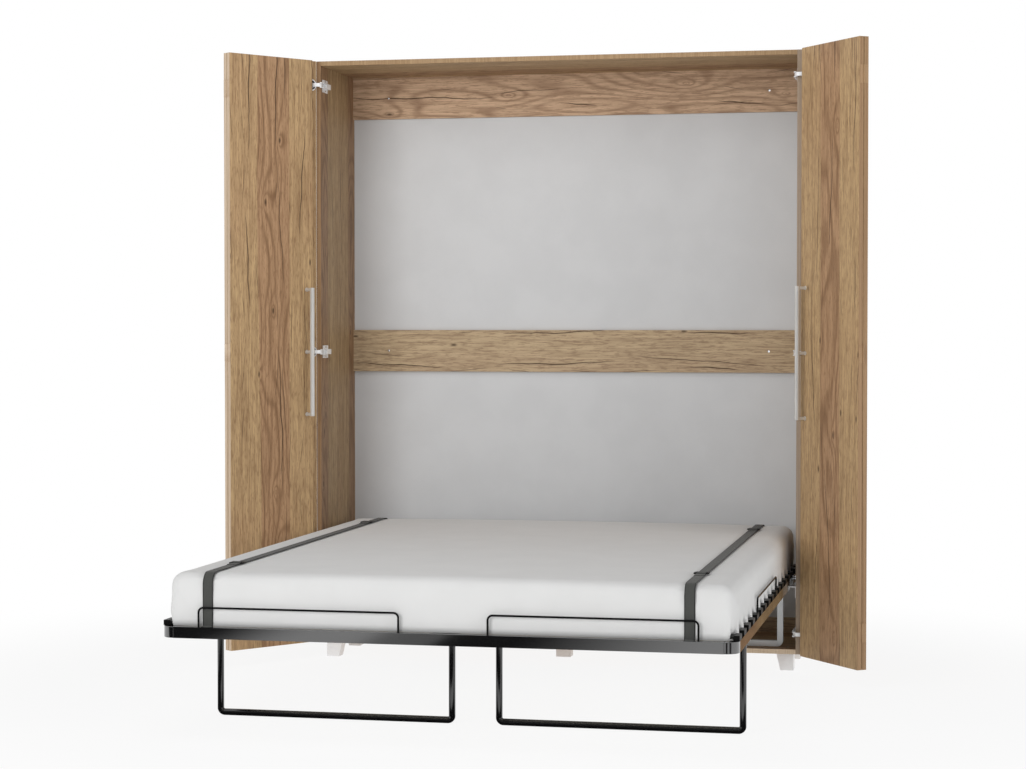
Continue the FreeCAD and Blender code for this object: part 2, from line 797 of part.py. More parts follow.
def slats():
    """Two rows of slats, with a cap on each side rail and a holder on the centre beam."""
    slat_pieces, caps, holders = [], [], []
    half = slat_width / 2
    high = slat_bottom + slat_thickness
    for number in range(slat_count):
        y = -slat_first_y + number * slat_pitch
        slat = box(slat_centre_gap / 2, slat_end, y - half, y + half, slat_bottom, high)
        cap = box(frame_half - cap_depth, frame_half, y - cap_width / 2, y + cap_width / 2,
                  rail_top, rail_top + cap_height)
        cap = cap.cut(box(frame_half - cap_depth, slat_end, y - half - cap_play,
                          y + half + cap_play, slat_bottom, high + cap_play))
        holder = box(-holder_width / 2, holder_width / 2, y - cap_width / 2,
                     y + cap_width / 2, rail_top, rail_top + holder_height)
        pocket = box(slat_centre_gap / 2, holder_width / 2, y - half - cap_play,
                     y + half + cap_play, slat_bottom, high + cap_play)
        slat_pieces.append(slat)
        caps.append(cap)
        holders.append(holder.cut(pocket).cut(mirrored(pocket)))
    return {
        "slats": both_sides(slat_pieces),
        "slat_caps": both_sides(caps),
        "centre_slat_holders": group(holders),
    }


def mattress():
    """The mattress: a crowned profile with drawn-in sides and rounded edges."""
    half = mattress_width / 2
    drawn = half - mattress_side_draw
    top = mattress_top - mattress_crown
    middle = (mattress_bottom + top) / 2
    length = vec(0, mattress_length, 0)

    def at(x, z):
        return vec(x, mattress_front, z)

    profile = Part.Wire([
        Part.makeLine(at(-drawn, mattress_bottom), at(drawn, mattress_bottom)),
        Part.Arc(at(drawn, mattress_bottom), at(half, middle), at(drawn, top)).toShape(),
        Part.Arc(at(drawn, top), at(0, mattress_top), at(-drawn, top)).toShape(),
        Part.Arc(at(-drawn, top), at(-half, middle), at(-drawn, mattress_bottom)).toShape(),
    ])
    body = Part.Face(profile).extrude(length)
    corners = [edge for edge in body.Edges
               if abs(edge.BoundBox.ZLength - (top - mattress_bottom)) < mattress_shoulder]
    body = body.makeFillet(mattress_corner, corners)
    low = [edge for edge in body.Edges
           if edge.BoundBox.ZMax < mattress_bottom + mattress_shoulder]
    body = body.makeFillet(mattress_bottom_round, low)
    high = [edge for edge in body.Edges if edge.BoundBox.ZMin > top - mattress_shoulder]
    return body.makeFillet(mattress_top_round, high)


def strap():
    """A webbing strap over the mattress, with its ends on the foot and the head rail."""
    x0 = strap_x - strap_width / 2
    front = mattress_front
    rear = mattress_rear
    inner = mattress_top_round
    outer = inner + strap_thickness
    bottom = strap_bottom
    across = vec(1, 0, 0)
    gap = strap_clearance
    centre_z = bottom - inner
    front_centre = vec(x0, front - gap + inner, centre_z)
    rear_centre = vec(x0, rear + gap - inner, centre_z)

    def strip(y0, y1, z0, z1):
        return box(x0, x0 + strap_width, y0, y1, z0, z1)

    head_top = rail_top + strap_thickness
    return joined([
        strip(front - gap - strap_thickness - strap_tab, front - gap, rail_top, head_top),
        strip(front - gap - strap_thickness, front - gap, head_top, centre_z),
        quarter_ring(inner, outer, front_centre, across, 180, strap_width),
        strip(front_centre.y, rear_centre.y, bottom, bottom + strap_thickness),
        quarter_ring(inner, outer, rear_centre, across, 90, strap_width),
        strip(rear + gap, rear + gap + strap_thickness, head_top, centre_z),
        strip(rear + gap, frame_head - strap_thickness, rail_top, head_top),
    ])


def buckle(y):
    """A flat slider with two slots, on top of the right strap."""
    z = strap_bottom + strap_thickness
    half_w = buckle_width / 2
    half_l = buckle_length / 2
    slot_half = half_w - buckle_bar
    body = box(strap_x - half_w, strap_x + half_w, y - half_l, y + half_l,
               z, z + buckle_thickness)
    for side in (-1, 1):
        near = side * buckle_bar / 2
        far = side * (half_l - buckle_bar)
        body = body.cut(box(strap_x - slot_half, strap_x + slot_half, y + min(near, far),
                            y + max(near, far), z, z + buckle_thickness))
    return body


def bedding():
    """The mattress, the straps over it and their buckles."""
    right = strap()
    return {
        "mattress": mattress(),
        "strap_right": right,
        "strap_left": mirrored(right),
        "strap_buckles": both_sides([buckle(mattress_front + buckle_foot_inset),
                                     buckle(mattress_rear - buckle_head_inset)]),
    }


# Legs

def leg():
    """The right leg: a round tube bent to a U that stands on the floor."""
    path = [vec(leg_inner_x, -leg_beam_y, leg_top), vec(leg_inner_x, -leg_beam_y, leg_radius),
            vec(leg_outer_x, -leg_beam_y, leg_radius), vec(leg_outer_x, -leg_beam_y, leg_top)]
    tube = swept_bar(path, leg_bend, leg_radius, leg_radius - leg_wall)
    for x in (leg_inner_x, leg_outer_x):
        tube = tube.cut(rod(leg_pin_radius + pin_play,
                            vec(x - leg_radius, -leg_beam_y, leg_pivot_z),
                            vec(x + leg_radius, -leg_beam_y, leg_pivot_z)))
    return tube


def leg_bracket(x):
    """A bracket under the cross member, with the pin on which a leg post turns."""
    reach = leg_radius + bracket_play + bracket_sheet
    inside = leg_radius + bracket_play
    low = rail_bottom - bracket_drop
    y0 = -leg_beam_y - bracket_depth / 2
    y1 = -leg_beam_y + bracket_depth / 2
    body = box(x - reach, x + reach, y0, y1, low, rail_bottom)
    gap = box(x - inside, x + inside, y0, y1, low, rail_bottom - bracket_sheet)
    pin = rod(leg_pin_radius, vec(x - reach, -leg_beam_y, leg_pivot_z),
              vec(x + reach, -leg_beam_y, leg_pivot_z))
    return joined([body.cut(gap), pin])


def legs():
    """Both legs, and the brackets that stay on the bed."""
    right = leg()
    return {
        "leg_right": right,
        "leg_left": mirrored(right),
        "leg_brackets": both_sides([leg_bracket(leg_inner_x), leg_bracket(leg_outer_x)]),
    }


# Gas struts

def strut_measures():
    """The foot, the direction and the closed and open lengths of a strut."""
    foot = vec(strut_x, strut_foot_y, strut_foot_z)
    head = vec(strut_x, strut_head_y, strut_head_z)
    closed = (head - foot).Length
    dy = strut_head_y - pivot_y
    dz = strut_head_z - pivot_z
    raised = vec(strut_x, pivot_y + dz, pivot_z - dy)
    return foot, (head - foot).normalize(), closed, (raised - foot).Length


def strut_eye(centre, bore):
    """A flat eye across the strut, centred on its pin."""
    half = vec(strut_eye_width / 2, 0, 0)
    eye = rod(strut_eye_radius, centre - half, centre + half)
    return eye.cut(rod(bore, centre - half, centre + half)) if bore else eye


def strut_cylinder():
    """The outer tube, with an eye at its foot and a guide for the rod at its mouth."""
    foot, along, closed, _ = strut_measures()
    start = foot + along * strut_neck
    end = foot + along * (closed - strut_eye_radius - strut_end_gap)
    body = rod(strut_radius, start, end)
    hollow = rod(strut_radius - strut_wall, start + along * strut_cap, end - along * strut_guide)
    bore = rod(strut_rod_radius + strut_bore_play, end - along * strut_guide, end)
    half = vec(strut_eye_width / 2, 0, 0)
    play = strut_stud_radius + strut_eye_bore_play
    neck = rod(strut_rod_radius, foot, start)
    shape = joined([body.cut(hollow).cut(bore), neck, strut_eye(foot, 0)])
    return shape.cut(rod(play, foot - half, foot + half))


def strut_rod():
    """The rod, with its piston inside the tube and an eye and stud at the bed."""
    foot, along, closed, opened = strut_measures()
    head = foot + along * closed
    mouth = foot + along * (closed - strut_eye_radius - strut_end_gap)
    tail = mouth - along * (strut_guide + (opened - closed) + strut_keep)
    piston_radius = strut_radius - strut_wall - strut_piston_play
    piston = rod(piston_radius, tail - along * strut_piston, tail)
    stud_end = strut_x + strut_plate_offset - strut_stud_gap
    stud = rod(strut_stud_radius, head, vec(stud_end, head.y, head.z))
    return joined([rod(strut_rod_radius, tail, head), piston, strut_eye(head, 0), stud])


def strut_lower_bracket():
    """A plate on the crossbar of the stand with the pin of the cylinder's eye."""
    x0 = strut_x + strut_plate_offset
    top = board_floor + stand_tube
    half = strut_plate_width / 2
    y_mid = stand_y + stand_tube / 2
    plate = box(x0, x0 + strut_plate, y_mid - stand_tube / 2, y_mid + stand_tube / 2, top,
                strut_foot_z)
    crown = rod(stand_tube / 2, vec(x0, strut_foot_y, strut_foot_z),
                vec(x0 + strut_plate, strut_foot_y, strut_foot_z))
    sole = box(x0, x0 + half, y_mid - stand_tube / 2, y_mid + stand_tube / 2,
               top, top + strut_plate)
    pin = rod(strut_stud_radius, vec(strut_x - strut_eye_width / 2, strut_foot_y, strut_foot_z),
              vec(x0, strut_foot_y, strut_foot_z))
    return joined([plate, crown, sole, pin])


def strut_upper_bracket():
    """A plate behind the cross member of the bed, beside the stud of the rod."""
    x0 = strut_x + strut_plate_offset
    beam_back = -strut_beam_y + rail_width / 2
    half = strut_plate_width / 2
    plate = box(x0, x0 + strut_plate, beam_back, strut_head_y,
                strut_head_z - half / 2, strut_head_z + half / 2)
    nose = rod(half / 2, vec(x0, strut_head_y, strut_head_z),
               vec(x0 + strut_plate, strut_head_y, strut_head_z))
    sole = box(x0, x0 + half, beam_back, beam_back + strut_plate,
               strut_head_z - half / 2, strut_head_z + half / 2)
    return joined([plate, nose, sole])


def struts():
    """Both gas struts and the brackets at their ends."""
    cylinder = strut_cylinder()
    piston_rod = strut_rod()
    return {
        "strut_cylinder_right": cylinder,
        "strut_cylinder_left": mirrored(cylinder),
        "strut_rod_right": piston_rod,
        "strut_rod_left": mirrored(piston_rod),
        "strut_lower_brackets": both_sides([strut_lower_bracket()]),
        "strut_upper_brackets": both_sides([strut_upper_bracket()]),
    }


def all_pieces():
    """Every node of the wall bed, by name."""
    pieces = cabinet()
    arms, screws = cabinet_hinges()
    for screw in screws:
        pieces["side_panel_right"] = pieces["side_panel_right"].cut(screw)
        pieces["side_panel_left"] = pieces["side_panel_left"].cut(mirrored(screw))
    pieces["hinge_arms_right"] = group(arms)
    pieces["hinge_arms_left"] = mirrored(group(arms))
    pieces["hinge_screws"] = both_sides(screws)
    for name, shape in door().items():
        right = on_door(shape)
        pieces[name + "_right"] = right
        pieces[name + "_left"] = mirrored(right)
    for section in (stand, bed_frame, slats, bedding, legs, struts):
        pieces.update(section())
    return pieces


def export(pieces):
    """Moves the pieces to the origin of the part and writes one file for each."""
    os.makedirs("parts", exist_ok=True)
    for name, shape in sorted(pieces.items()):
        shape.translate(vec(0, origin_shift, 0))
        shape.exportStep("parts/" + name + ".step")
        print(name, len(shape.Solids), shape.isValid(), round(shape.Volume))


export(all_pieces())
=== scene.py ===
"""Looks of the wall bed: finishes, soft goods, fittings, lights and the camera.

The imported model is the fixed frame. Rigid nodes get a copy with eased edges, and the
mattress, the straps and their sliders are modelled here.
"""
import json
import logging
import math
from collections.abc import Callable
from dataclasses import dataclass, field
from enum import Enum

import bmesh
import bpy
from mathutils import Matrix, Vector


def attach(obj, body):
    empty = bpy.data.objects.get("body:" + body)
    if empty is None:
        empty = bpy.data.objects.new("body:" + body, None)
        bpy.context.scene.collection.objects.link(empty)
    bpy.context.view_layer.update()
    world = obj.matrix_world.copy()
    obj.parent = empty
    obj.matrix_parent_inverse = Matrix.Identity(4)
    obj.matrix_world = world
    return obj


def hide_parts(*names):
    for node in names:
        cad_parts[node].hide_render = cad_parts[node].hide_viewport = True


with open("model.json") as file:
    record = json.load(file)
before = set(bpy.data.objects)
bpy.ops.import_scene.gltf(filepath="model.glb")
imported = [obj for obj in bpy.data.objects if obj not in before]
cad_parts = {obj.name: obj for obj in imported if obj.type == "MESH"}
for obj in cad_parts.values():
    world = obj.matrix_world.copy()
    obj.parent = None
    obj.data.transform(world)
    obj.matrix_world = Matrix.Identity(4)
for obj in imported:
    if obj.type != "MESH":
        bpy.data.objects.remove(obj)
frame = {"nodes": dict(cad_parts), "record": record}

log = logging.getLogger("wall_bed")
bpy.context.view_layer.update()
MM = 0.001
ORIGIN_SHIFT = 598 * MM
Piece = bpy.types.Object
Triple = tuple[float, float, float]
Span = tuple[float, float]
WHITE = (1, 1, 1, 1)
WELD_DISTANCE = 0.01 * MM
FLAT_ANGLE = math.radians(1.0)


def linear(red: float, green: float, blue: float) -> tuple[float, float, float, float]:
    """Turns a display colour from 0 to 255 into the scene's linear colour.

    Args:
        red: the red part.
        green: the green part.
        blue: the blue part.

    Returns:
        The linear colour, with an alpha of 1.
    """
    def one(value: float) -> float:
        """Turns one part."""
        share = value / 255
        return share / 12.92 if share <= 0.04045 else ((share + 0.055) / 1.055) ** 2.4

    return one(red), one(green), one(blue), 1.0


def within(value: float) -> float:
    """Returns a value, kept between 0 and 1."""
    return max(0.0, min(1.0, value))


# Node trees


def sign(kind: str, swapped: bool = False) -> Callable:
    """Makes the method behind a plain sign: a Math node of a kind, also with sides swapped.

    Args:
        kind: the operation of the node.
        swapped: True where the value comes second.

    Returns:
        The method.
    """
    def method(value: "Value", other: object) -> "Value":
        """Adds the node."""
        return value.tree.math(kind, *((other, value) if swapped else (value, other)))

    return method


@dataclass(frozen=True, eq=False)
class Value:
    """An output in a node tree, so that sums can be written with plain signs."""

    tree: "Tree"
    socket: bpy.types.NodeSocket

    __add__ = sign("ADD")
    __sub__, __rsub__ = sign("SUBTRACT"), sign("SUBTRACT", True)
    __mul__ = sign("MULTIPLY")
    __truediv__, __rtruediv__ = sign("DIVIDE"), sign("DIVIDE", True)

    def __abs__(self) -> "Value":
        """Drops the value's sign."""
        return self.tree.math("ABSOLUTE", self)

    def step(self, low: float, high: float) -> "Value":
        """Returns a smooth step, from 0 at low to 1 at high."""
        return self.tree.ramp(self, low, high, 0.0, 1.0)

    def window(self, low: float, high: float, soft: float = 0.06) -> "Value":
        """Returns 1 between two values and 0 outside, with soft ends."""
        return self.step(low, low + soft) * (1.0 - self.step(high - soft, high))


class Tree:
    """A node tree under construction, with short calls for the nodes it needs."""

    def __init__(self, tree: bpy.types.NodeTree) -> None:
        """Takes a tree and empties it."""
        self.nodes, self.links = tree.nodes, tree.links
        self.nodes.clear()

    def put(self, socket: bpy.types.NodeSocket, value: object) -> None:
        """Links a value into an input, or sets the input to a plain one.

        Args:
            socket: the input.
            value: a value of this tree, a plain one, or None to leave the input.
        """
        if isinstance(value, Value):
            self.links.new(value.socket, socket)
        elif value is not None:
            socket.default_value = value

    def node(self, kind: str, *inputs: object, out: object = 0, **settings: object) -> Value:
        """Adds a node.

        Args:
            kind: the type of node, without ShaderNode.
            inputs: what goes into its first inputs, None where nothing does.
            out: the number or the name of the wanted output.
            settings: the node's own settings.

        Returns:
            The wanted output.
        """
        node = self.nodes.new("ShaderNode" + kind)
        for name, setting in settings.items():
            setattr(node, name, setting)
        for socket, value in zip(node.inputs, inputs):
            self.put(socket, value)
        return Value(self, node.outputs[out])

    def math(self, kind: str, *inputs: object) -> Value:
        """Adds a Math node of a kind, such as FLOOR."""
        return self.node("Math", *inputs, operation=kind)

    def ramp(self, value: Value, low: float, high: float, start: float, end: float) -> Value:
        """Returns a smooth change from start, at low, to end, at high."""
        return self.node("MapRange", value, low, high, start, end,
                         interpolation_type="SMOOTHSTEP")

    def point(self) -> Value:
        """Returns the place on the piece, in metres."""
        return self.node("TexCoord", out="Object")

    def split(self, vector: Value) -> list[Value]:
        """Returns the three parts of a vector."""
        parts = self.node("SeparateXYZ", vector).socket.node.outputs
        return [Value(self, part) for part in parts]

    def join(self, *parts: object) -> Value:
        """Returns a vector of three parts."""
        return self.node("CombineXYZ", *parts)

    def mapped(self, vector: Value, shift: Triple = (0.0, 0.0, 0.0), turn: float = 0.0,
               scale: Triple = (1.0, 1.0, 1.0)) -> Value:
        """Scales a vector, turns it about Z by an angle in radians, and shifts it."""
        return self.node("Mapping", vector, shift, (0, 0, turn), scale)

    def noise(self, vector: Value, scale: float = 1.0, detail: float = 2.0,
              rough: float = 0.5) -> Value:
        """Returns a noise value between about 0.2 and 0.8."""
        return self.node("TexNoise", vector, None, scale, detail, rough, out="Fac")

    def dice(self, value: Value, seed: float) -> Value:
        """Returns a fixed chance value from 0 to 1 for each whole number."""
        return self.node("TexWhiteNoise", self.join(value, seed, 0.0), out="Value",
                         noise_dimensions="2D")

    def blend(self, share: object, low: object, high: object) -> Value:
        """Returns a colour between two colours."""
        return self.node("Mix", share, None, None, None, None, None, low, high, out=2,
                         data_type="RGBA")

    def tones(self, share: Value, low: Triple, high: Triple) -> Value:
        """Returns a colour between two display colours."""
        return self.blend(share, linear(*low), linear(*high))

    def seen_rays(self) -> tuple[Value, Value]:
        """Tells the rays apart that see a surface itself or mirrored.

        Returns:
            1 for camera rays, and 1 for rays from metal, enamel or glass.
        """
        glossy, through, camera = (self.node("LightPath", out="Is %s Ray" % kind)
                                   for kind in ("Glossy", "Transmission", "Camera"))
        return camera, self.math("MAXIMUM", glossy, through)


class Graph(Tree):
    """A material under construction, with one Principled shader."""

    def __init__(self, name: str) -> None:
        """Starts the material.

        Args:
            name: the name of the material.
        """
        self.material = bpy.data.materials.new(name)
        self.material.use_nodes = True
        super().__init__(self.material.node_tree)
        self.output = self.nodes.new("ShaderNodeOutputMaterial").inputs[0]
        self.shader = self.nodes.new("ShaderNodeBsdfPrincipled")
        self.shaded = Value(self, self.shader.outputs[0])
        self.put(self.output, self.shaded)

    def set(self, **values: object) -> None:
        """Sets the shader's inputs, named with _ for a space."""
        for name, value in values.items():
            self.put(self.shader.inputs[name.replace("_", " ")], value)

    def bump(self, height: Value, distance: float, strength: float) -> None:
        """Raises the surface by a height from 0 to 1 over a distance in metres.

        Args:
            height: the height, from 0 to 1.
            distance: how high 1 is, in metres.
            strength: the share of it that shows.
        """
        node = self.nodes.new("ShaderNodeBump")
        for name, value in (("Strength", strength), ("Distance", distance),
                            ("Height", height)):
            self.put(node.inputs[name], value)
        self.set(Normal=Value(self, node.outputs[0]))


# Finishes


class Finish:
    """What a surface is made of: a name, a slot and the way that it is drawn."""

    name: str
    slot: str

    def build(self) -> bpy.types.Material:
        """Makes the material.

        Returns:
            The material.
        """
        graph = Graph(self.name)
        self.draw(graph)
        return graph.material


class Grain(Enum):
    """The way that the grain of a board runs."""

    UPRIGHT = "up the board"
    RAIL = "along a cross rail"
    PANEL = "along the top or the bottom panel"


@dataclass(frozen=True)
class Cracks:
    """Long thin cracks in oak, at most one in each cell of a grid.

    The chance that a cell stays without a crack is least. Sizes are in metres.
    """

    seed: float
    half_width: float
    cell: Span = (0.115, 0.58)
    least: float = 0.50
    bend: float = 0.022
    bend_scale: float = 7.0
    row_play: float = 3.7
    cell_step: float = 13.0
    lean: float = 0.95
    side_play: float = 0.4
    reach: Span = (0.10, 0.34)
    taper: float = 0.6
    soft: float = 0.5 * MM

    def draw(self, graph: Graph, across: Value, along: Value) -> Value:
        """Draws the cracks.

        Args:
            graph: the material under construction.
            across: the place across the grain, in metres.
            along: the place along the grain, in metres.

        Returns:
            A value of 1 in a crack and 0 beside it.
        """
        wide, long = self.cell
        wobble = graph.noise(graph.join(along * self.bend_scale, self.seed, 0.0))
        column = (wobble * self.bend + across + self.seed) / wide
        column_floor = graph.math("FLOOR", column)
        row = along / long + graph.dice(column_floor, self.seed) * self.row_play
        row_floor = graph.math("FLOOR", row)
        cell = column_floor * self.cell_step + row_floor
        chance, slant, reach, side = (graph.dice(cell, self.seed + step)
                                      for step in (0.37, 1.71, 2.93, 4.19))
        u, v = column - column_floor - 0.5, row - row_floor - 0.5
        line = v * ((slant - 0.5) * self.lean) + (side - 0.5) * self.side_play
        away = abs(u - line) * wide
        least, more = self.reach
        span = v / (reach * more + least)
        taper = graph.math("POWER", graph.math("MAXIMUM", 1.0 - span * span, 0.0),
                           self.taper)
        present = graph.math("GREATER_THAN", chance, self.least)
        return (taper * self.half_width * present - away).step(-self.soft, self.soft)


@dataclass(frozen=True)
class Figure:
    """Noise that is drawn out along the grain.

    It has a scale across and along the grain, and depth sets the strips apart.
    """

    across: float
    along: float
    depth: float = 0.0
    detail: float = 2.0
    rough: float = 0.5


@dataclass(frozen=True)
class OakLaminate(Finish):
    """Rustic oak laminate: strips of golden and reddish oak, knots and dark cracks."""

    name: str
    grain: Grain
    turn: float
    shift: Triple
    strip_width: float = 0.125
    # Scales every colour of the board: below 1 it is painted shade, above 1 painted light.
    shade: float = 1.0
    golden: Triple = (203, 173, 129)
    honey: Triple = (195, 164, 122)
    reddish: Triple = (183, 147, 112)
    dark: Triple = (116, 84, 57)
    crack: Triple = (54, 36, 25)
    knot_cells: Span = (7.4, 2.7)
    knot_bend: float = 0.06
    knot_pull: float = 0.22
    rings: float = 105.0
    contours: Figure = Figure(5.6, 1.15, 40.0, 1.5, 0.4)
    ring_breaks: Figure = Figure(30.0, 5.0, 5.0)
    streaks: Figure = Figure(105.0, 3.6, 7.0, rough=0.6)
    fine_lines: Figure = Figure(210.0, 6.0, 3.0, rough=0.7)
    pores: Figure = Figure(225.0, 26.0, rough=0.75)
    clouds: Figure = Figure(4.2, 1.3, 3.0, 3.0)
    knot_places: Figure = Figure(2.3, 0.9, detail=0.0)
    relief: float = 0.35 * MM
    slot: str = "oak_laminate"

    def tint(self, colour: Triple) -> tuple[float, float, float, float]:
        """Returns one of the wood's colours, scaled by the board's painted light or shade."""
        return linear(*[value * self.shade for value in colour])

    def place(self, graph: Graph) -> list[Value]:
        """Finds the places across, through and along the grain.

        Args:
            graph: the material under construction.

        Returns:
            The three places, in metres.
        """
        x, y, z = graph.split(graph.mapped(graph.point(), turn=self.turn))
        order = {Grain.UPRIGHT: (x, y, z), Grain.RAIL: (z, y, x), Grain.PANEL: (y, z, x)}
        return graph.split(graph.mapped(graph.join(*order[self.grain]), self.shift))

    def strip_number(self, graph: Graph, across: Value, along: Value) -> Value:
        """Returns the number of the strip of wood at a place."""
        slow = graph.noise(graph.join(across * 3.0, 0.0, along * 0.3))
        return graph.math("FLOOR", (across + (slow - 0.5) * 0.09) / self.strip_width)

    def knots(self, graph: Graph, across: Value, along: Value) -> Value:
        """Measures how far the nearest knot is, stretched along the grain.

        Args:
            graph: the material under construction.
            across: the place across the grain, in metres.
            along: the place along the grain, in metres.

        Returns:
            The distance, in cells of the pattern.
        """
        wide, long = self.knot_cells
        return graph.node("TexVoronoi", graph.join(across * wide, along * long, 0.0), None,
                          1.0, out="Distance", voronoi_dimensions="2D")

    def cracks(self, graph: Graph, across: Value, along: Value) -> Value:
        """Draws the long and the short cracks.

        Args:
            graph: the material under construction.
            across: the place across the grain, in metres.
            along: the place along the grain, in metres.

        Returns:
            The share of the dark colour.
        """
        thick, thin, short = (kind.draw(graph, across, along) for kind in (
            Cracks(3.3, 1.9 * MM), Cracks(8.9, 1.3 * MM),
            Cracks(5.6, 1.2 * MM, (0.062, 0.21), 0.60)))
        long = graph.math("MAXIMUM", thick, thin)
        return graph.math("MAXIMUM", long, short * 0.7) * 0.85

    def draw(self, graph: Graph) -> None:
        """Draws the surface.

        Args:
            graph: the material under construction.
        """
        across, through, along = self.place(graph)
        strip = self.strip_number(graph, across, along)
        tone, offset = (graph.dice(strip, seed) for seed in (1.7, 9.1))

        def grain(figure: Figure) -> Value:
            """Draws a figure, with its own depth in each strip.

            Args:
                figure: the figure.

            Returns:
                The noise.
            """
            place = graph.join(across * figure.across,
                               through * figure.across + offset * figure.depth,
                               along * figure.along)
            return graph.noise(place, detail=figure.detail, rough=figure.rough)

        knot = self.knots(graph, across, along)
        reddish_strip = graph.math("COMPARE", graph.math("FLOORED_MODULO", strip, 3.0), 1.0,
                                   0.1)
        pull = self.knot_bend / (knot + self.knot_bend) * self.knot_pull
        contour = pull + grain(self.contours)
        wave = graph.math("SINE", contour * self.rings) * 0.5 + 0.5
        rings = graph.math("POWER", wave, 2.4) * grain(self.ring_breaks)
        streaks, fine, pores, slow = (grain(figure) for figure in (
            self.streaks, self.fine_lines, self.pores, self.clouds))
        few = grain(self.knot_places).step(0.47, 0.52)
        eye = (1.0 - knot.step(0.010, 0.045)) * few * 0.78
        crack = self.cracks(graph, across, along)

        base = graph.blend(tone, self.tint(self.golden), self.tint(self.honey))
        for share, colour in ((reddish_strip, self.reddish),
                              (slow.step(0.44, 0.68) * 0.38, self.reddish),
                              (rings * (reddish_strip * 0.80 + 0.26), self.dark),
                              (streaks.step(0.42, 0.74) * 0.36, self.dark),
                              (fine.step(0.42, 0.66) * 0.32, self.dark),
                              (pores.step(0.48, 0.66) * 0.50, self.dark),
                              (eye, self.crack), (crack, self.crack)):
            base = graph.blend(share, base, self.tint(colour))
        graph.bump(pores * -0.45 - (crack * 0.9 + streaks * 0.35), self.relief, 0.75)
        graph.set(Base_Color=base, Roughness=streaks * 0.22 + 0.42, Specular_IOR_Level=0.3)


@dataclass(frozen=True)
class EdgeBand(Finish):
    """The glued edge band of the boards: pale oak print with fine straight lines."""

    name: str = "Oak_Edge_Pale"
    light: Triple = (212, 190, 164)
    dark: Triple = (180, 154, 126)
    slot: str = "oak_laminate"

    def draw(self, graph: Graph) -> None:
        """Draws the surface.

        Args:
            graph: the material under construction.
        """
        x, y, z = graph.split(graph.point())
        lines = graph.noise(graph.join((x + y) * 330.0, x * 1.2, z * 1.6))
        specks = graph.noise(graph.mapped(graph.point(), scale=(260.0, 260.0, 90.0)))
        share = specks * 0.35 + lines.step(0.34, 0.66) * 0.65
        graph.set(Base_Color=graph.tones(share, self.light, self.dark),
                  Roughness=specks * 0.2 + 0.42)
        graph.bump(lines, 0.2 * MM, 0.5)


@dataclass(frozen=True)
class Paint(Finish):
    """An even paint, plastic or metal with a fine surface and slight unevenness."""

    name: str
    slot: str
    colour: Triple
    second: Triple
    roughness: float
    spread: float
    metallic: float = 0.0
    coat: float = 0.0
    specular: float = 0.5
    ior: float = 1.5
    coat_roughness: float = 0.08
    pattern: Triple = (900.0, 900.0, 900.0)
    relief: float = 0.02 * MM

    def draw(self, graph: Graph) -> None:
        """Draws the surface.

        Args:
            graph: the material under construction.
        """
        fine = graph.noise(graph.mapped(graph.point(), scale=self.pattern))
        share = graph.noise(graph.point(), 7.0, 3.0) * 0.7 + fine * 0.3
        graph.bump(fine, self.relief, 0.6)
        graph.set(Base_Color=graph.tones(share.step(0.36, 0.64), self.colour, self.second),
                  Roughness=share * self.spread + (self.roughness - self.spread / 2),
                  Metallic=self.metallic, Coat_Weight=self.coat,
                  Coat_Roughness=self.coat_roughness, Specular_IOR_Level=self.specular,
                  IOR=self.ior)


@dataclass(frozen=True)
class Knit(Finish):
    """White mattress ticking: a fine jacquard knit with a soft sheen."""

    name: str = "Mattress_Knit"
    slot: str = "ticking"
    light: Triple = (223, 223, 222)
    shade: Triple = (210, 210, 209)
    cell: float = 4.2 * MM

    def draw(self, graph: Graph) -> None:
        """Draws the surface.

        Args:
            graph: the material under construction.
        """
        x, y, z = graph.split(graph.point())
        turn = 2 * math.pi / self.cell
        across = graph.math("SINE", x * turn)
        along = graph.math("SINE", (y + z) * (turn * 0.62))
        quilt = across * along * 0.5 + 0.5
        loops = graph.noise(graph.mapped(graph.point(), scale=(1400.0, 1400.0, 1400.0)),
                            detail=1.0)
        share = quilt * 0.42 + graph.noise(graph.point(), 9.0, 3.0) * 0.58
        graph.bump(loops * 0.35 + quilt, 0.35 * MM, 0.55)
        graph.set(Base_Color=graph.tones(share, self.shade, self.light),
                  Roughness=0.92, Sheen_Weight=0.18, Sheen_Roughness=0.5,
                  Specular_IOR_Level=0.2)


@dataclass(frozen=True)
class Webbing(Finish):
    """Dark woven webbing with firm dark edges, on the strap's own UV map."""

    name: str = "Strap_Webbing"
    slot: str = "webbing"
    light: Triple = (88, 89, 86)
    dark: Triple = (52, 53, 51)
    edge: Triple = (38, 38, 37)
    edge_from: float = 11.8 * MM
    thread: float = 1.6 * MM

    def draw(self, graph: Graph) -> None:
        """Draws the surface.

        Args:
            graph: the material under construction.
        """
        uv = graph.node("UVMap")
        across, along, _ = graph.split(uv)
        turn = 2 * math.pi / self.thread
        beside = abs(across)
        twill = graph.math("SINE", (along + beside) * turn)
        weave = twill * graph.math("SINE", across * (turn * 0.9)) * 0.5 + 0.5
        fibre = graph.noise(graph.mapped(uv, scale=(2600.0, 500.0, 1.0)))
        body = graph.tones(weave * 0.55 + fibre * 0.45, self.dark, self.light)
        rim = beside.step(self.edge_from, self.edge_from + 1.0 * MM)
        graph.bump(fibre * 0.3 + weave, 0.3 * MM, 0.6)
        graph.set(Base_Color=graph.blend(rim, body, linear(*self.edge)), Roughness=0.86,
                  Sheen_Weight=0.12, Specular_IOR_Level=0.25)


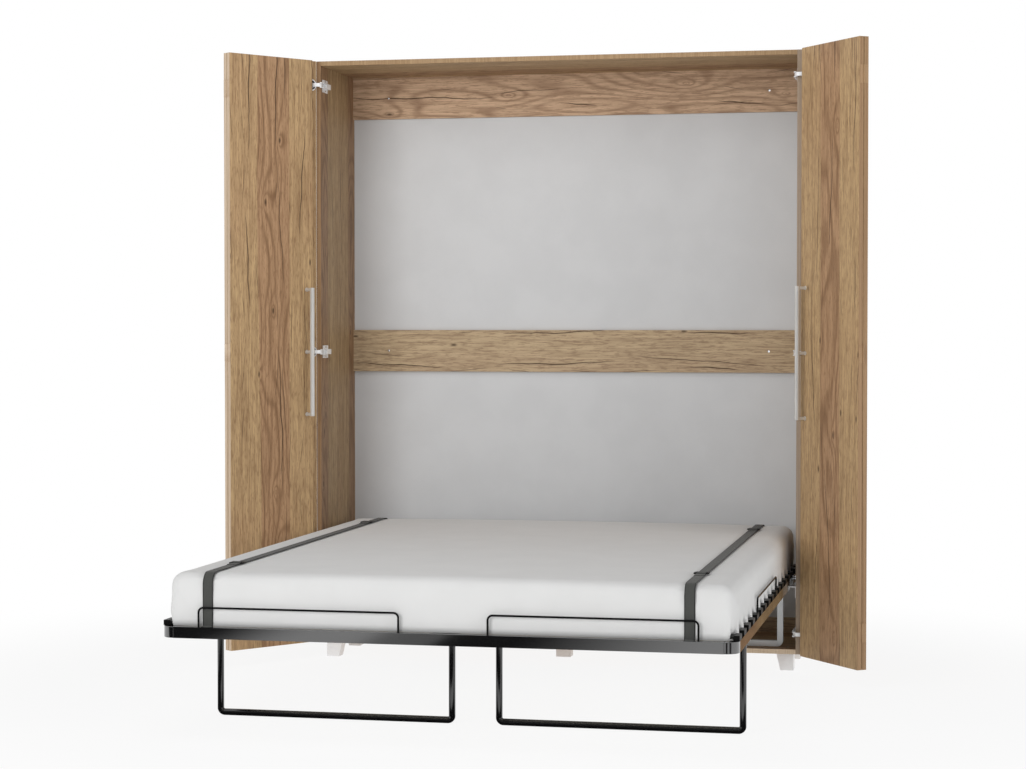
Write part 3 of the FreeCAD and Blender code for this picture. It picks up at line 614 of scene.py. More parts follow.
@dataclass(frozen=True)
class SlatWood(Finish):
    """Pale laminated slat wood with fine grain across the bed, and black sleeves."""

    name: str = "Slat_Birch"
    slot: str = "slat_wood"
    light: Triple = (214, 207, 192)
    dark: Triple = (186, 174, 152)
    sleeve: Triple = (13, 13, 13)
    sleeve_from: float = 787 * MM

    def draw(self, graph: Graph) -> None:
        """Draws the surface.

        Args:
            graph: the material under construction.
        """
        place = graph.point()
        x, _, z = graph.split(place)
        grain = graph.noise(graph.mapped(place, scale=(2.4, 160.0, 420.0)), detail=4.0)
        share = graph.math("SINE", z * 3900.0) * 0.10 + grain
        wood = graph.tones(share.step(0.34, 0.70), self.light, self.dark)
        sleeve = abs(x).step(self.sleeve_from, self.sleeve_from + 1.0 * MM)
        graph.bump(grain, 0.1 * MM, 0.5)
        graph.set(Base_Color=graph.blend(sleeve, wood, linear(*self.sleeve)),
                  Roughness=grain * 0.2 + 0.42)


ENAMEL = Paint("Black_Enamel", "black_enamel", (7, 7, 8), (10, 10, 11), 0.07, 0.03,
               coat=1.0, specular=0.8, ior=1.8, coat_roughness=0.04,
               pattern=(420.0, 420.0, 420.0), relief=0.004 * MM)
TUBE = Paint("Black_Tube_Enamel", "black_enamel", (7, 7, 8), (10, 10, 11), 0.09, 0.03,
             coat=0.5, specular=0.6, ior=1.6, coat_roughness=0.05,
             pattern=(420.0, 420.0, 420.0), relief=0.004 * MM)
WIRE = Paint("Black_Wire_Enamel", "black_enamel", (8, 8, 9), (12, 12, 13), 0.22, 0.06,
             specular=0.16, pattern=(420.0, 420.0, 420.0), relief=0.01 * MM)
GREY = Paint("Grey_Enamel", "grey_enamel", (230, 233, 236), (220, 224, 228), 0.38, 0.10,
             metallic=0.05, coat=0.2, pattern=(700.0, 700.0, 700.0))
NICKEL = Paint("Satin_Nickel", "nickel", (226, 225, 222), (214, 212, 208), 0.34, 0.10,
               metallic=0.5, pattern=(2600.0, 2600.0, 9.0))
ZINC = Paint("Zinc_Plate", "zinc", (226, 226, 226), (206, 208, 210), 0.22, 0.12,
             metallic=1.0, pattern=(300.0, 300.0, 300.0))
PLATED = Paint("Bright_Plate", "zinc", (250, 250, 250), (240, 241, 242), 0.24, 0.10,
               metallic=0.15, pattern=(300.0, 300.0, 300.0))
# A dark steel colour on the hinge cups, which is painted shade round the hinges.
CUP_PAINTED_SHADE = Paint("Dark_Cup_Steel", "dark_steel", (52, 52, 54), (40, 40, 42), 0.34, 0.12,
                  metallic=0.8, pattern=(500.0, 500.0, 500.0))
STEEL = Paint("Bright_Steel", "bright_steel", (214, 216, 219), (200, 203, 207), 0.12, 0.06,
              metallic=1.0, pattern=(240.0, 2400.0, 2400.0))
PLASTIC = Paint("Black_Plastic", "black_plastic", (9, 9, 9), (15, 15, 15), 0.42, 0.12,
                specular=0.16, pattern=(1500.0, 1500.0, 1500.0), relief=0.05 * MM)
PALE_PLASTIC = Paint("Pale_Plastic", "pale_plastic", (246, 246, 247), (240, 241, 242), 0.42,
                     0.10)
PALE_BOARD = Paint("Pale_Board", "pale_board", (212, 213, 214), (208, 209, 210), 0.62, 0.08,
                   specular=0.25, pattern=(350.0, 350.0, 350.0))
KNIT = Knit()
WEBBING = Webbing()
SLAT_WOOD = SlatWood()
# The edge band is one material, and the pale band has its own colour. The golden and the top
# copies are darker only as painted shade, and the greyed and the light copies are lighter only
# as painted light, each matched to the light on its edge.
PALE_EDGE = EdgeBand()
SHADED_EDGE = EdgeBand("Oak_Edge_Golden", (166, 134, 99), (132, 101, 70))
TOP_SHADED_EDGE = EdgeBand("Oak_Edge_Top", (176, 148, 113), (148, 118, 84))
GREY_LIT_EDGE = EdgeBand("Oak_Edge_Greyed", (182, 163, 143), (152, 133, 114))
LIT_EDGE = EdgeBand("Oak_Edge_Light", (236, 216, 190), (208, 184, 156))


class Finishes:
    """The materials made so far, each once."""

    made: dict[str, bpy.types.Material] = {}

    @classmethod
    def add(cls, piece: Piece, finish: Finish) -> None:
        """Gives a piece one more material, the finish's own.

        Args:
            piece: the piece.
            finish: the finish.
        """
        if finish.name not in cls.made:
            cls.made[finish.name] = finish.build()
        piece.data.materials.append(cls.made[finish.name])

    @classmethod
    def dress(cls, piece: Piece, finish: Finish) -> None:
        """Gives a piece one finish, in place of what it had.

        Args:
            piece: the piece.
            finish: the finish.
        """
        piece.data.materials.clear()
        cls.add(piece, finish)
        for face in piece.data.polygons:
            face.material_index = 0


# Hand tools


def alone(piece: Piece) -> None:
    """Selects one piece and nothing else, and makes it active.

    Args:
        piece: the piece to select.
    """
    bpy.ops.object.select_all(action="DESELECT")
    piece.select_set(True)
    bpy.context.view_layer.objects.active = piece


def edit(piece: Piece, mode: str = "VERT") -> bmesh.types.BMesh:
    """Opens a piece in edit mode with nothing selected and returns its mesh.

    Args:
        piece: the piece to open.
        mode: what is picked in it, VERT, EDGE or FACE.

    Returns:
        The mesh under edit.
    """
    alone(piece)
    bpy.ops.object.mode_set(mode="EDIT")
    bpy.ops.mesh.select_mode(type=mode)
    bpy.ops.mesh.select_all(action="DESELECT")
    return bmesh.from_edit_mesh(piece.data)


def done() -> None:
    """Leaves edit mode."""
    bpy.ops.object.mode_set(mode="OBJECT")


def finish_with(piece: Piece, kind: str, **settings: object) -> None:
    """Adds a modifier with the given settings and applies it.

    Args:
        piece: the piece to change.
        kind: the type of the modifier.
        settings: the modifier's settings.
    """
    alone(piece)
    modifier = piece.modifiers.new(kind.title(), kind)
    for name, value in settings.items():
        setattr(modifier, name, value)
    bpy.ops.object.modifier_apply(modifier=modifier.name)


def eased(piece: Piece, width: float, segments: int = 2, angle: float = 35.0) -> Piece:
    """Rounds the sharp edges of a piece and shades it smooth.

    Args:
        piece: the piece to round.
        width: the rounding, in metres.
        segments: the number of faces round an edge.
        angle: the edge angle, in degrees, from which an edge is rounded.

    Returns:
        The same piece.
    """
    alone(piece)
    bpy.ops.object.shade_smooth_by_angle(angle=math.radians(angle))
    if width > 0:
        finish_with(piece, "BEVEL", width=width, segments=segments, limit_method="ANGLE",
                    angle_limit=math.radians(angle), use_clamp_overlap=True,
                    miter_outer="MITER_ARC", harden_normals=True)
    return piece


def block(name: str, low: Triple, high: Triple) -> Piece:
    """Adds a block between two corners, to be shaped further.

    Args:
        name: the name of the piece.
        low: its lowest corner, in metres.
        high: its highest corner, in metres.

    Returns:
        The block.
    """
    bpy.ops.object.select_all(action="DESELECT")
    centre = [(a + b) / 2 for a, b in zip(low, high)]
    bpy.ops.mesh.primitive_cube_add(size=1, location=centre)
    piece = bpy.context.object
    piece.name = name
    piece.scale = [b - a for a, b in zip(low, high)]
    alone(piece)
    bpy.ops.object.transform_apply(location=True, rotation=True, scale=True)
    return piece


class Side(Enum):
    """A side of the bed, with the sign of its X."""

    LEFT = -1
    RIGHT = 1

    @property
    def word(self) -> str:
        """The side's name, as nodes and bodies have it."""
        return self.name.lower()


def node_copy(node: str, finish: Finish, width: float, segments: int = 2,
              side: Side | None = None) -> Piece:
    """Replaces a rigid node by a copy with eased edges and its finish.

    Args:
        node: the CAD node, without its side where a side is given.
        finish: the finish of the copy.
        width: the rounding of its edges, in metres.
        segments: the number of faces round an edge.
        side: the side that ends the node's name.

    Returns:
        The copy, which rides on the node's body.
    """
    ending = "_" + side.word if side else ""
    source = frame["nodes"][node + ending]
    copy = source.copy()
    copy.data = source.data.copy()
    copy.parent = None
    for key in [key for key in copy.keys() if key.startswith("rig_")]:
        del copy[key]
    copy.name = node.title() + ending
    bpy.context.scene.collection.objects.link(copy)
    edit(copy)
    bpy.ops.mesh.select_all(action="SELECT")
    bpy.ops.mesh.remove_doubles(threshold=WELD_DISTANCE)
    bpy.ops.mesh.customdata_custom_splitnormals_clear()
    bpy.ops.mesh.mark_sharp(clear=True)
    bpy.ops.mesh.dissolve_limited(angle_limit=FLAT_ANGLE)
    done()
    eased(copy, width, segments)
    Finishes.dress(copy, finish)
    bodies = frame["record"]["behaviour"]["bodies"]
    body = next(body for body, members in bodies.items() if node + ending in members)
    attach(copy, body)
    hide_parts(node + ending)
    return copy


def band_edges(board: Piece, facing: Vector, band: EdgeBand, limit: float = 0.9) -> None:
    """Gives the faces of a board that face along a line, either way, the edge band.

    Args:
        board: the board.
        facing: the direction in which the banded edges face.
        band: the finish of the edge band.
        limit: the least cosine between a face and the direction.
    """
    Finishes.add(board, band)
    for face in board.data.polygons:
        if abs(face.normal.dot(facing)) > limit:
            face.material_index = 1


# Sub-assemblies


@dataclass
class Cabinet:
    """The open cabinet: boards in oak laminate, a pale back and pale feet."""

    board_ease: float = 0.7 * MM
    back_ease: float = 0.4 * MM
    foot_ease: float = 2.0 * MM
    cam_ease: float = 0.4 * MM
    # The side panels' oak at 0.86 is painted shade.
    side_painted_shade: float = 0.86
    # The panels' and rails' oak at 0.96 is painted shade, and the top rail's at 1.08 painted
    # light.
    rail_painted_shade: float = 0.96
    top_rail_shade: float = 1.08
    # The left side panel's golden edge band is painted shade, and the right one's greyed band
    # is painted light.
    sides: dict[Side, tuple[Triple, EdgeBand]] = field(default_factory=lambda: {
        Side.LEFT: ((0.31, 0.0, 1.2), SHADED_EDGE),
        Side.RIGHT: ((2.13, 0.0, 4.7), GREY_LIT_EDGE)})

    def boards(self) -> None:
        """Dresses the side, top and bottom panels, the cross rails and the back."""
        front = Vector((0, 1, 0))
        for side, (shift, band) in self.sides.items():
            finish = OakLaminate("Oak_Side_" + side.word, Grain.UPRIGHT, math.radians(-90),
                                 shift, shade=self.side_painted_shade)
            band_edges(node_copy("side_panel", finish, self.board_ease, side=side), front,
                       band)
        # The top panel's edge band is painted shade, and the bottom panel's light band is
        # painted light.
        for node, shift, band in (("top_panel", (0.4, 0.0, 3.1), TOP_SHADED_EDGE),
                                  ("bottom_panel", (5.2, 0.0, 7.4), LIT_EDGE)):
            finish = OakLaminate("Oak_" + node, Grain.PANEL, 0.0, shift, shade=self.rail_painted_shade)
            band_edges(node_copy(node, finish, self.board_ease), front, band)
        for node, shift, shade in (("top_rail", (-1.1, 0.0, 8.3), self.top_rail_shade),
                                   ("middle_rail", (-0.95, 0.0, 2.6), self.rail_painted_shade),
                                   ("bottom_rail", (3.0, 0.0, 5.5), self.rail_painted_shade)):
            finish = OakLaminate("Oak_" + node, Grain.RAIL, 0.0, shift, 0.6, shade,
                                 golden=(216, 193, 157), honey=(208, 184, 149),
                                 reddish=(196, 167, 139), dark=(126, 98, 76))
            node_copy(node, finish, self.board_ease)
        node_copy("back_panel", PALE_BOARD, self.back_ease)

    def build(self) -> None:
        """Builds the whole cabinet, with its feet and fasteners."""
        self.boards()
        for node in ("corner_feet", "centre_foot"):
            node_copy(node, PALE_PLASTIC, self.foot_ease, 3)
        node_copy("foot_screws", ZINC, 0.0)
        node_copy("cam_fasteners", ZINC, self.cam_ease)
        log.info("cabinet boards, feet and fasteners")


@dataclass
class Doors:
    """Two folded bi-fold doors with their handles and hinges."""

    open_angle: float = 126.3
    hinge_x: float = 850 * MM
    hinge_front: float = 3 * MM
    hinge_heights: Triple = (0.130, 1.080, 2.016)
    link_radius: float = 23.4 * MM
    link_half: float = 6.4 * MM
    leaf_ease: float = 0.7 * MM
    leaf_margin: float = 4 * MM
    wide_leaf_shift: float = 1.5
    # The right door's golden edge band is painted shade; the left door's pale band is the
    # band's own colour.
    sides: dict[Side, tuple[float, EdgeBand]] = field(default_factory=lambda: {
        Side.LEFT: (0.55, PALE_EDGE), Side.RIGHT: (6.15, SHADED_EDGE)})

    def first_edge(self, node: str, turn: float) -> float:
        """Finds the place across a leaf where its width starts, after the turn.

        Args:
            node: the CAD node of the leaf.
            turn: the leaf's turn about Z, in radians.

        Returns:
            The place, in metres.
        """
        leaf = frame["nodes"][node]
        places = [leaf.matrix_world @ vertex.co for vertex in leaf.data.vertices]
        return min(place.x * math.cos(turn) - place.y * math.sin(turn) for place in places)

    def leaves(self, side: Side) -> None:
        """Dresses the two leaves of one door.

        Args:
            side: the side of the door.
        """
        along, band = self.sides[side]
        turn = -side.value * math.radians(self.open_angle - 180)
        for node, step in (("wide_leaf", self.wide_leaf_shift), ("handle_leaf", 0.0)):
            name = node + "_" + side.word
            shift = (self.leaf_margin - self.first_edge(name, turn) + step, 0.0, along)
            finish = OakLaminate("Oak_" + name, Grain.UPRIGHT, turn, shift)
            leaf = node_copy(node, finish, self.leaf_ease, side=side)
            band_edges(leaf, Vector((math.cos(turn), -math.sin(turn), 0)), band)

    def fittings(self, side: Side) -> None:
        """Dresses the handle, the fold hinges and the concealed hinges of one door.

        Args:
            side: the side of the door.
        """
        band = self.sides[side][1]
        # The fold hinge lacquer takes the door's edge band colours, so on the right door it
        # carries the same painted shade.
        lacquer = Paint("Fold_Hinge_Lacquer_" + side.word, "zinc", band.light, band.dark,
                        0.45, 0.12, pattern=(500.0, 500.0, 500.0))
        for node, finish, ease, segments in (
                ("handle_bar", NICKEL, 1.2, 3), ("handle_posts", NICKEL, 0.6, 2),
                ("fold_hinge_fixed", lacquer, 0.3, 2), ("fold_hinge_moving", lacquer, 0.3, 2),
                ("hinge_cups", PLATED, 0.3, 2), ("hinge_arms", PLATED, 0.8, 2)):
            piece = node_copy(node, finish, ease * MM, segments, side)
            if node == "hinge_cups":
                self.paint_cup_shade(piece, side)

    def paint_cup_shade(self, piece: Piece, side: Side) -> None:
        """Paints shade on the pressed cups of the hinges: a dark steel colour, darker than
        their links.

        Args:
            piece: the cups and links of one door.
            side: the side of the door.
        """
        Finishes.add(piece, CUP_PAINTED_SHADE)
        axis = Vector((side.value * self.hinge_x, ORIGIN_SHIFT - self.hinge_front))
        for face in piece.data.polygons:
            beside = min(abs(face.center.z - height) for height in self.hinge_heights)
            if beside > self.link_half or (face.center.xy - axis).length > self.link_radius:
                face.material_index = 1

    def build(self) -> None:
        """Builds both doors."""
        for side in Side:
            self.leaves(side)
            self.fittings(side)
        node_copy("hinge_screws", ZINC, 0.3 * MM)
        log.info("doors, handles and hinges")


@dataclass(frozen=True)
class Gear:
    """Rigid nodes that keep their shapes: for each finish its rounding and its nodes."""

    label: str
    rows: tuple[tuple[Finish, float, int, tuple[str, ...]], ...]
    sided: tuple[tuple[Finish, float, str], ...] = ()

    def build(self) -> None:
        """Dresses the nodes, and then those that have a left and a right one."""
        for finish, ease, segments, nodes in self.rows:
            for node in nodes:
                node_copy(node, finish, ease * MM, segments)
        for side in Side:
            for finish, ease, node in self.sided:
                node_copy(node, finish, ease * MM, side=side)
        log.info(self.label)


BED_FRAME = Gear("bed frame, slats and hoops", (
    (ENAMEL, 2.6, 3, ("side_rail_left", "side_rail_right", "foot_rail", "head_rail",
                      "frame_corners", "centre_beam", "cross_members")),
    (SLAT_WOOD, 2.4, 3, ("slats",)),
    (PLASTIC, 1.6, 2, ("slat_caps", "centre_slat_holders")),
    (WIRE, 0.3, 2, ("mattress_hoops",)),
    (TUBE, 0.6, 2, ("leg_brackets", "strut_upper_brackets"))))
RUNNING_GEAR = Gear("stand, pivots, legs and struts", (
    (GREY, 2.0, 3, ("stand_crossbar", "stand_upright_left", "stand_upright_right")),
    (GREY, 0.6, 2, ("pivot_plates", "strut_lower_brackets")),
    (PALE_PLASTIC, 0.8, 2, ("bed_stops",)),
    (STEEL, 0.6, 2, ("pivot_pins",))),
    ((TUBE, 0.3, "leg"), (TUBE, 0.6, "strut_cylinder"), (STEEL, 0.5, "strut_rod")))


@dataclass
class Mattress:
    """The foam mattress: eased edges, sides that swell, pressed in under the straps.

    Its lower edge laps over the first slats, and hangs a little between the slats.
    """

    half_width: float = 802.3 * MM
    swollen_half: float = 806.0 * MM
    front: float = -1607 * MM + ORIGIN_SHIFT
    rear: float = 301 * MM + ORIGIN_SHIFT
    slat_front: float = -1600.2 * MM + ORIGIN_SHIFT
    lap_gap: float = 0.9 * MM
    lap_bottom: float = 321.7 * MM
    lap_from: float = 351 * MM
    lap_to: float = 377 * MM
    bulge: float = 8 * MM
    bulge_from: float = 338 * MM
    bottom: float = 334.8 * MM
    bottom_reach: float = 4 * MM
    holder_half: float = 36 * MM
    holder_top: float = 337.4 * MM
    top: float = 476 * MM
    crown: float = 5 * MM
    corner: float = 34 * MM
    upper_round: float = 34 * MM
    lower_round: float = 8 * MM
    voxel: float = 11 * MM
    pressure: float = 4.0
    cloth_mass: float = 0.4
    cloth_quality: int = 3
    frames: int = 12
    swell: float = 5 * MM
    kept_swell: float = 2.5 * MM
    slat_first: float = -1572.5 * MM + ORIGIN_SHIFT
    slat_pitch: float = 115 * MM
    slat_half: float = 26.5 * MM
    slat_play: float = 3 * MM
    sag: float = 11 * MM
    sag_reach: float = 45 * MM
    strap_x: float = 685 * MM
    strap_half: float = 13 * MM
    press: float = 2.4 * MM
    press_reach: float = 24 * MM
    loose: float = 0.5 * MM

    def corners(self) -> tuple[Triple, Triple]:
        """Returns the lowest and the highest corner of the foam."""
        return ((-self.half_width, self.front, self.bottom),
                (self.half_width, self.rear, self.top - self.crown))

    def rough_form(self) -> Piece:
        """Makes the block of foam with round corners and edges.

        Returns:
            The mattress, with no life in its cover yet.
        """
        low, high = self.corners()
        piece = block("Mattress", low, high)
        for kind, width, segments in (("upright", self.corner, 8),
                                      ("top", self.upper_round, 6),
                                      ("bottom", self.lower_round, 3)):
            mesh = edit(piece, "EDGE")
            for edge in mesh.edges:
                heights = [vertex.co.z for vertex in edge.verts]
                border = len({round(face.normal.z, 1) for face in edge.link_faces}) > 1
                edge.select = {"upright": abs(heights[0] - heights[1]) > 50 * MM,
                               "top": min(heights) > high[2] - MM and border,
                               "bottom": max(heights) < low[2] + MM and border}[kind]
            bmesh.update_edit_mesh(piece.data)
            bpy.ops.mesh.bevel(offset=width, segments=segments, affect="EDGES")
            done()
        finish_with(piece, "REMESH", mode="VOXEL", voxel_size=self.voxel)
        finish_with(piece, "SMOOTH", factor=0.5, iterations=2)
        return piece

    def inflate(self, piece: Piece) -> None:
        """Lets the cover swell a little over the foam, as cloth under pressure.

        Args:
            piece: the mattress.
        """
        before = [vertex.co.copy() for vertex in piece.data.vertices]
        alone(piece)
        cloth = piece.modifiers.new("Cover", "CLOTH")
        cloth.settings.quality = self.cloth_quality
        cloth.settings.mass = self.cloth_mass
        cloth.settings.use_pressure = True
        cloth.settings.uniform_pressure_force = self.pressure
        cloth.settings.effector_weights.gravity = 0.0
        cloth.collision_settings.use_collision = False
        for number in range(1, self.frames + 1):
            bpy.context.scene.frame_set(number)
        bpy.ops.object.modifier_apply(modifier=cloth.name)
        bpy.context.scene.frame_set(1)
        for vertex, place in zip(piece.data.vertices, before):
            move = vertex.co - place
            if move.length > self.swell:
                vertex.co = place + move.normalized() * self.swell

    def onto_form(self, place: Vector) -> Vector:
        """Finds the nearest point on the mattress's eased form.

        Args:
            place: a point of the cover.

        Returns:
            The point on the form.
        """
        height = (place.z - self.bottom) / (self.top - self.crown - self.bottom)
        share = within(height * 2)
        radius = self.lower_round + (self.upper_round - self.lower_round) * share
        low, high = map(Vector, self.corners())
        core = Vector([max(least + radius, min(most - radius, value))
                       for least, most, value in zip(low, high, place)])
        away = place - core
        return core + away.normalized() * radius if away.length >= 1e-6 else place

    def settle_cover(self, piece: Piece) -> None:
        """Eases the swollen cover onto the form, crowns its top and draws in its edges.

        Args:
            piece: the mattress.
        """
        middle = (self.bottom + self.top) / 2
        for vertex in piece.data.vertices:
            form = self.onto_form(vertex.co)
            extra = vertex.co - form
            kept = min(extra.length, self.kept_swell * self.above_lap(form.z))
            place = form + (extra.normalized() * kept if extra.length > 1e-6 else Vector())
            reach = 1 - min(1.0, abs(place.z - middle) / (middle - self.bottom)) ** 2
            place.x *= 1 + (self.swollen_half / self.half_width - 1) * reach
            if form.z > self.top - self.crown - 0.5 * self.upper_round:
                share = place.x / self.half_width
                flat = max(0.0, 1 - share * share)
                place.z = min(place.z, self.top - self.crown) + self.crown * flat
            vertex.co = place

    def cut_laps(self, piece: Piece) -> None:
        """Cuts two lines close together, behind which the cover steps up onto the slats.

        Args:
            piece: the mattress.
        """
        for offset in (0.0, self.lap_gap):
            edit(piece)
            bpy.ops.mesh.select_all(action="SELECT")
            bpy.ops.mesh.bisect(plane_co=(0, self.slat_front + offset, 0), plane_no=(0, 1, 0))
            done()

    def press_in(self, place: Vector) -> None:
        """Presses the cover in under and beside the straps.

        Args:
            place: a point of the cover, which is moved.
        """
        beside = abs(abs(place.x) - self.strap_x)
        fall = max(0.0, 1 - max(0.0, beside - self.strap_half) / self.press_reach)
        dent = self.press * fall * fall * (3 - 2 * fall)
        reach = 0.6 * self.upper_round
        if place.z > self.top - reach:
            place.z -= dent
        if place.y < self.front + reach:
            place.y = max(place.y, self.front) + 0.5 * dent * self.above_lap(place.z)
        if place.y > self.rear - reach:
            place.y = min(place.y, self.rear) - dent

    def bed_in(self, piece: Piece) -> None:
        """Lays the cover on the slats and presses it in under the straps.

        Args:
            piece: the mattress.
        """
        for vertex in piece.data.vertices:
            place = vertex.co
            self.press_in(place)
            ahead = place.y <= self.slat_front + 0.1 * MM
            at_side = abs(place.x) > self.half_width - self.lower_round
            wave = 0.0 if ahead or not at_side else self.wave(place)
            lowered = self.lowered(place.z)
            if ahead:
                place.z = lowered
            elif wave > 0:
                share = within((self.lap_to - place.z) / (self.lap_to - self.bottom))
                place.z += (lowered - place.z) * wave
                place.x += math.copysign(self.bulge * wave * share, place.x)
            elif place.z < self.bottom + self.bottom_reach:
                place.z = self.under(place)
            limit = self.swollen_half + self.loose
            if wave > 0:
                limit = max(limit, self.half_width + self.bulge * wave)
            elif place.z < self.bulge_from:
                limit = self.half_width
            place.x = max(-limit, min(limit, place.x))

    def above_lap(self, height: float) -> float:
        """Returns 0 at the lap's lower edge, 1 above the lap, and shares between."""
        return within((height - self.lap_from) / (self.lap_to - self.lap_from))

    def lowered(self, height: float) -> float:
        """Draws a height down towards the lap's lower edge.

        Args:
            height: a height on the cover's side, in metres.

        Returns:
            The height to which it is drawn, in metres.
        """
        if height >= self.lap_to:
            return height
        return self.lap_bottom + self.above_lap(height) * (self.lap_to - self.lap_bottom)

    def wave(self, place: Vector) -> float:
        """Finds how far the cover may hang between two slat caps.

        Args:
            place: a point of the cover.

        Returns:
            0 beside a cap, and 1 where it may hang freely.
        """
        number = (place.y - self.slat_first) / self.slat_pitch
        covered = self.slat_half + self.slat_play
        beside = abs(number - round(number)) * self.slat_pitch - covered
        if beside <= 0 or place.y > self.rear - self.corner:
            return 0.0
        room = self.slat_pitch / 2 - covered
        return math.sin(math.pi / 2 * min(1.0, beside / (0.45 * room)))

    def under(self, place: Vector) -> float:
        """Finds how high the cover's underside is at a place.

        Args:
            place: a point of the cover.

        Returns:
            The height, in metres.
        """
        if abs(place.x) < self.holder_half:
            return self.holder_top
        edge = max(0.0, self.half_width - abs(place.x))
        if edge > self.sag_reach:
            return self.bottom
        return self.bottom - self.sag * self.wave(place) * (1 - edge / self.sag_reach)

    def build(self) -> None:
        """Builds the mattress in place of its solid."""
        piece = self.rough_form()
        self.inflate(piece)
        self.settle_cover(piece)
        finish_with(piece, "SMOOTH", factor=0.5, iterations=2)
        self.cut_laps(piece)
        self.bed_in(piece)
        alone(piece)
        bpy.ops.object.shade_smooth()
        Finishes.dress(piece, KNIT)
        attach(piece, "bed")
        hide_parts("mattress")
        log.info("mattress, %d faces", len(piece.data.polygons))


@dataclass
class Straps:
    """Two webbing straps over the mattress, each with two sliders."""

    x: float = 685 * MM
    width: float = 30 * MM
    thickness: float = 1.6 * MM
    strips: int = 6
    front: float = -1606.9 * MM + ORIGIN_SHIFT
    rear: float = 301.2 * MM + ORIGIN_SHIFT
    foot_tab: float = 15 * MM
    head_tab: float = 46 * MM
    foot_turn: tuple[Span, ...] = ((-3 * MM, 0.0), (-0.6 * MM, 0.8 * MM), (0.0, 4 * MM))
    head_turn: tuple[Span, ...] = ((0.0, 3 * MM), (4 * MM, 0.0))
    low: float = 321.0 * MM
    top: float = 473.0 * MM
    bend: float = 35 * MM
    bend_steps: int = 10
    play: float = 0.2 * MM
    tail_narrower: float = 1.5 * MM
    webbing_ease: float = 0.35 * MM
    slider_ease: float = 1.1 * MM
    tail_route: tuple[Span, ...] = (
        (-3.1, 0.0), (-2.0, 0.0), (-1.1, 0.0), (-0.6, 1.8 * MM), (0.0, 4.6 * MM),
        (0.6, 1.8 * MM), (0.9, 0.0))
    slider_y: Span = (-1350 * MM + ORIGIN_SHIFT, 63 * MM + ORIGIN_SHIFT)
    slider_width: float = 44 * MM
    slider_length: float = 34 * MM
    slider_corner: float = 6 * MM
    slider_bar: float = 5 * MM
    slider_height: float = 3.4 * MM
    slot_reach: float = 2 * MM

    def route(self) -> list[Vector]:
        """Plans the strap's middle line, from the foot rail to the head rail.

        Returns:
            The points of the line, at X 0.
        """
        half = self.thickness / 2
        radius = self.bend + half
        y0, y1, z1 = self.front - half, self.rear + half, self.top + half
        z0 = self.low + half
        turns = [math.pi / 2 * number / self.bend_steps
                 for number in range(self.bend_steps + 1)]
        line = [(y0 - self.foot_tab, z0)]
        line += [(y0 + ahead, z0 + rise) for ahead, rise in self.foot_turn]
        line += [(y0 + radius * (1 - math.cos(turn)), z1 - radius * (1 - math.sin(turn)))
                 for turn in turns]
        line += [(y0 + radius + share * (y1 - y0 - 2 * radius), z1)
                 for share in (0.1, 0.3, 0.5, 0.7, 0.9)]
        line += [(y1 - radius * (1 - math.sin(turn)), z1 - radius * (1 - math.cos(turn)))
                 for turn in turns]
        line += [(y1 + behind, z0 + rise) for behind, rise in self.head_turn]
        line.append((y1 + self.head_tab, z0))
        return [Vector((0, y, z)) for y, z in line]

    def ribbon(self, name: str, points: list[Vector], width: float) -> Piece:
        """Extrudes an edge along points into a band of webbing with its own UV map.

        Args:
            name: the name of the piece.
            points: the middle line of the band, at X 0.
            width: the width of the band, in metres.

        Returns:
            The band, with its thickness.
        """
        bpy.ops.object.select_all(action="DESELECT")
        bpy.ops.mesh.primitive_plane_add(size=1, location=(0, 0, 0))
        piece = bpy.context.object
        piece.name = name
        mesh = edit(piece)
        row = sorted(mesh.verts, key=lambda vertex: (vertex.co.y, vertex.co.x))
        bmesh.ops.delete(mesh, geom=row[2:], context="VERTS")
        mesh.verts.ensure_lookup_table()
        for vertex, side in zip(sorted(mesh.verts, key=lambda v: v.co.x), (-0.5, 0.5)):
            vertex.co = points[0] + Vector((side * width, 0, 0))
            vertex.select = True
        mesh.select_flush(True)
        bmesh.update_edit_mesh(piece.data)
        bpy.ops.mesh.subdivide(number_cuts=self.strips - 1)
        for before, after in zip(points, points[1:]):
            bpy.ops.mesh.extrude_region_move(
                TRANSFORM_OT_translate={"value": after - before})
        done()
        self.unroll(piece, points)
        finish_with(piece, "SOLIDIFY", thickness=self.thickness, offset=0.0)
        return eased(piece, self.webbing_ease, angle=60.0)

    def unroll(self, piece: Piece, points: list[Vector]) -> None:
        """Gives the band a UV map: its place across, and the length along it, in metres.

        Args:
            piece: the band.
            points: its middle line.
        """
        lengths = [0.0]
        for before, after in zip(points, points[1:]):
            lengths.append(lengths[-1] + (after - before).length)
        layer = piece.data.uv_layers[0]
        for loop in piece.data.loops:
            place = piece.data.vertices[loop.vertex_index].co
            nearest = min(range(len(points)), key=lambda number: (
                (points[number].y - place.y) ** 2 + (points[number].z - place.z) ** 2))
            layer.data[loop.index].uv = (place.x, lengths[nearest])

    def strap(self, side: Side) -> None:
        """Builds one strap and its folded-back tails under the sliders.

        Args:
            side: the side of the bed.
        """
        band = self.ribbon("Strap_" + side.word, self.route(), self.width)
        bands = [band]
        height = self.top + self.thickness * 1.5 + self.play
        for number, y in enumerate(self.slider_y):
            points = [Vector((0, y + self.slider_length / 2 * share, height + rise))
                      for share, rise in self.tail_route]
            bands.append(self.ribbon("Strap_Tail_%s_%d" % (side.word, number), points,
                                     self.width - self.tail_narrower))
        for piece in bands:
            piece.data.transform(Matrix.Translation((side.value * self.x, 0, 0)))
            Finishes.dress(piece, WEBBING)
            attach(piece, "bed")
        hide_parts("strap_" + side.word)

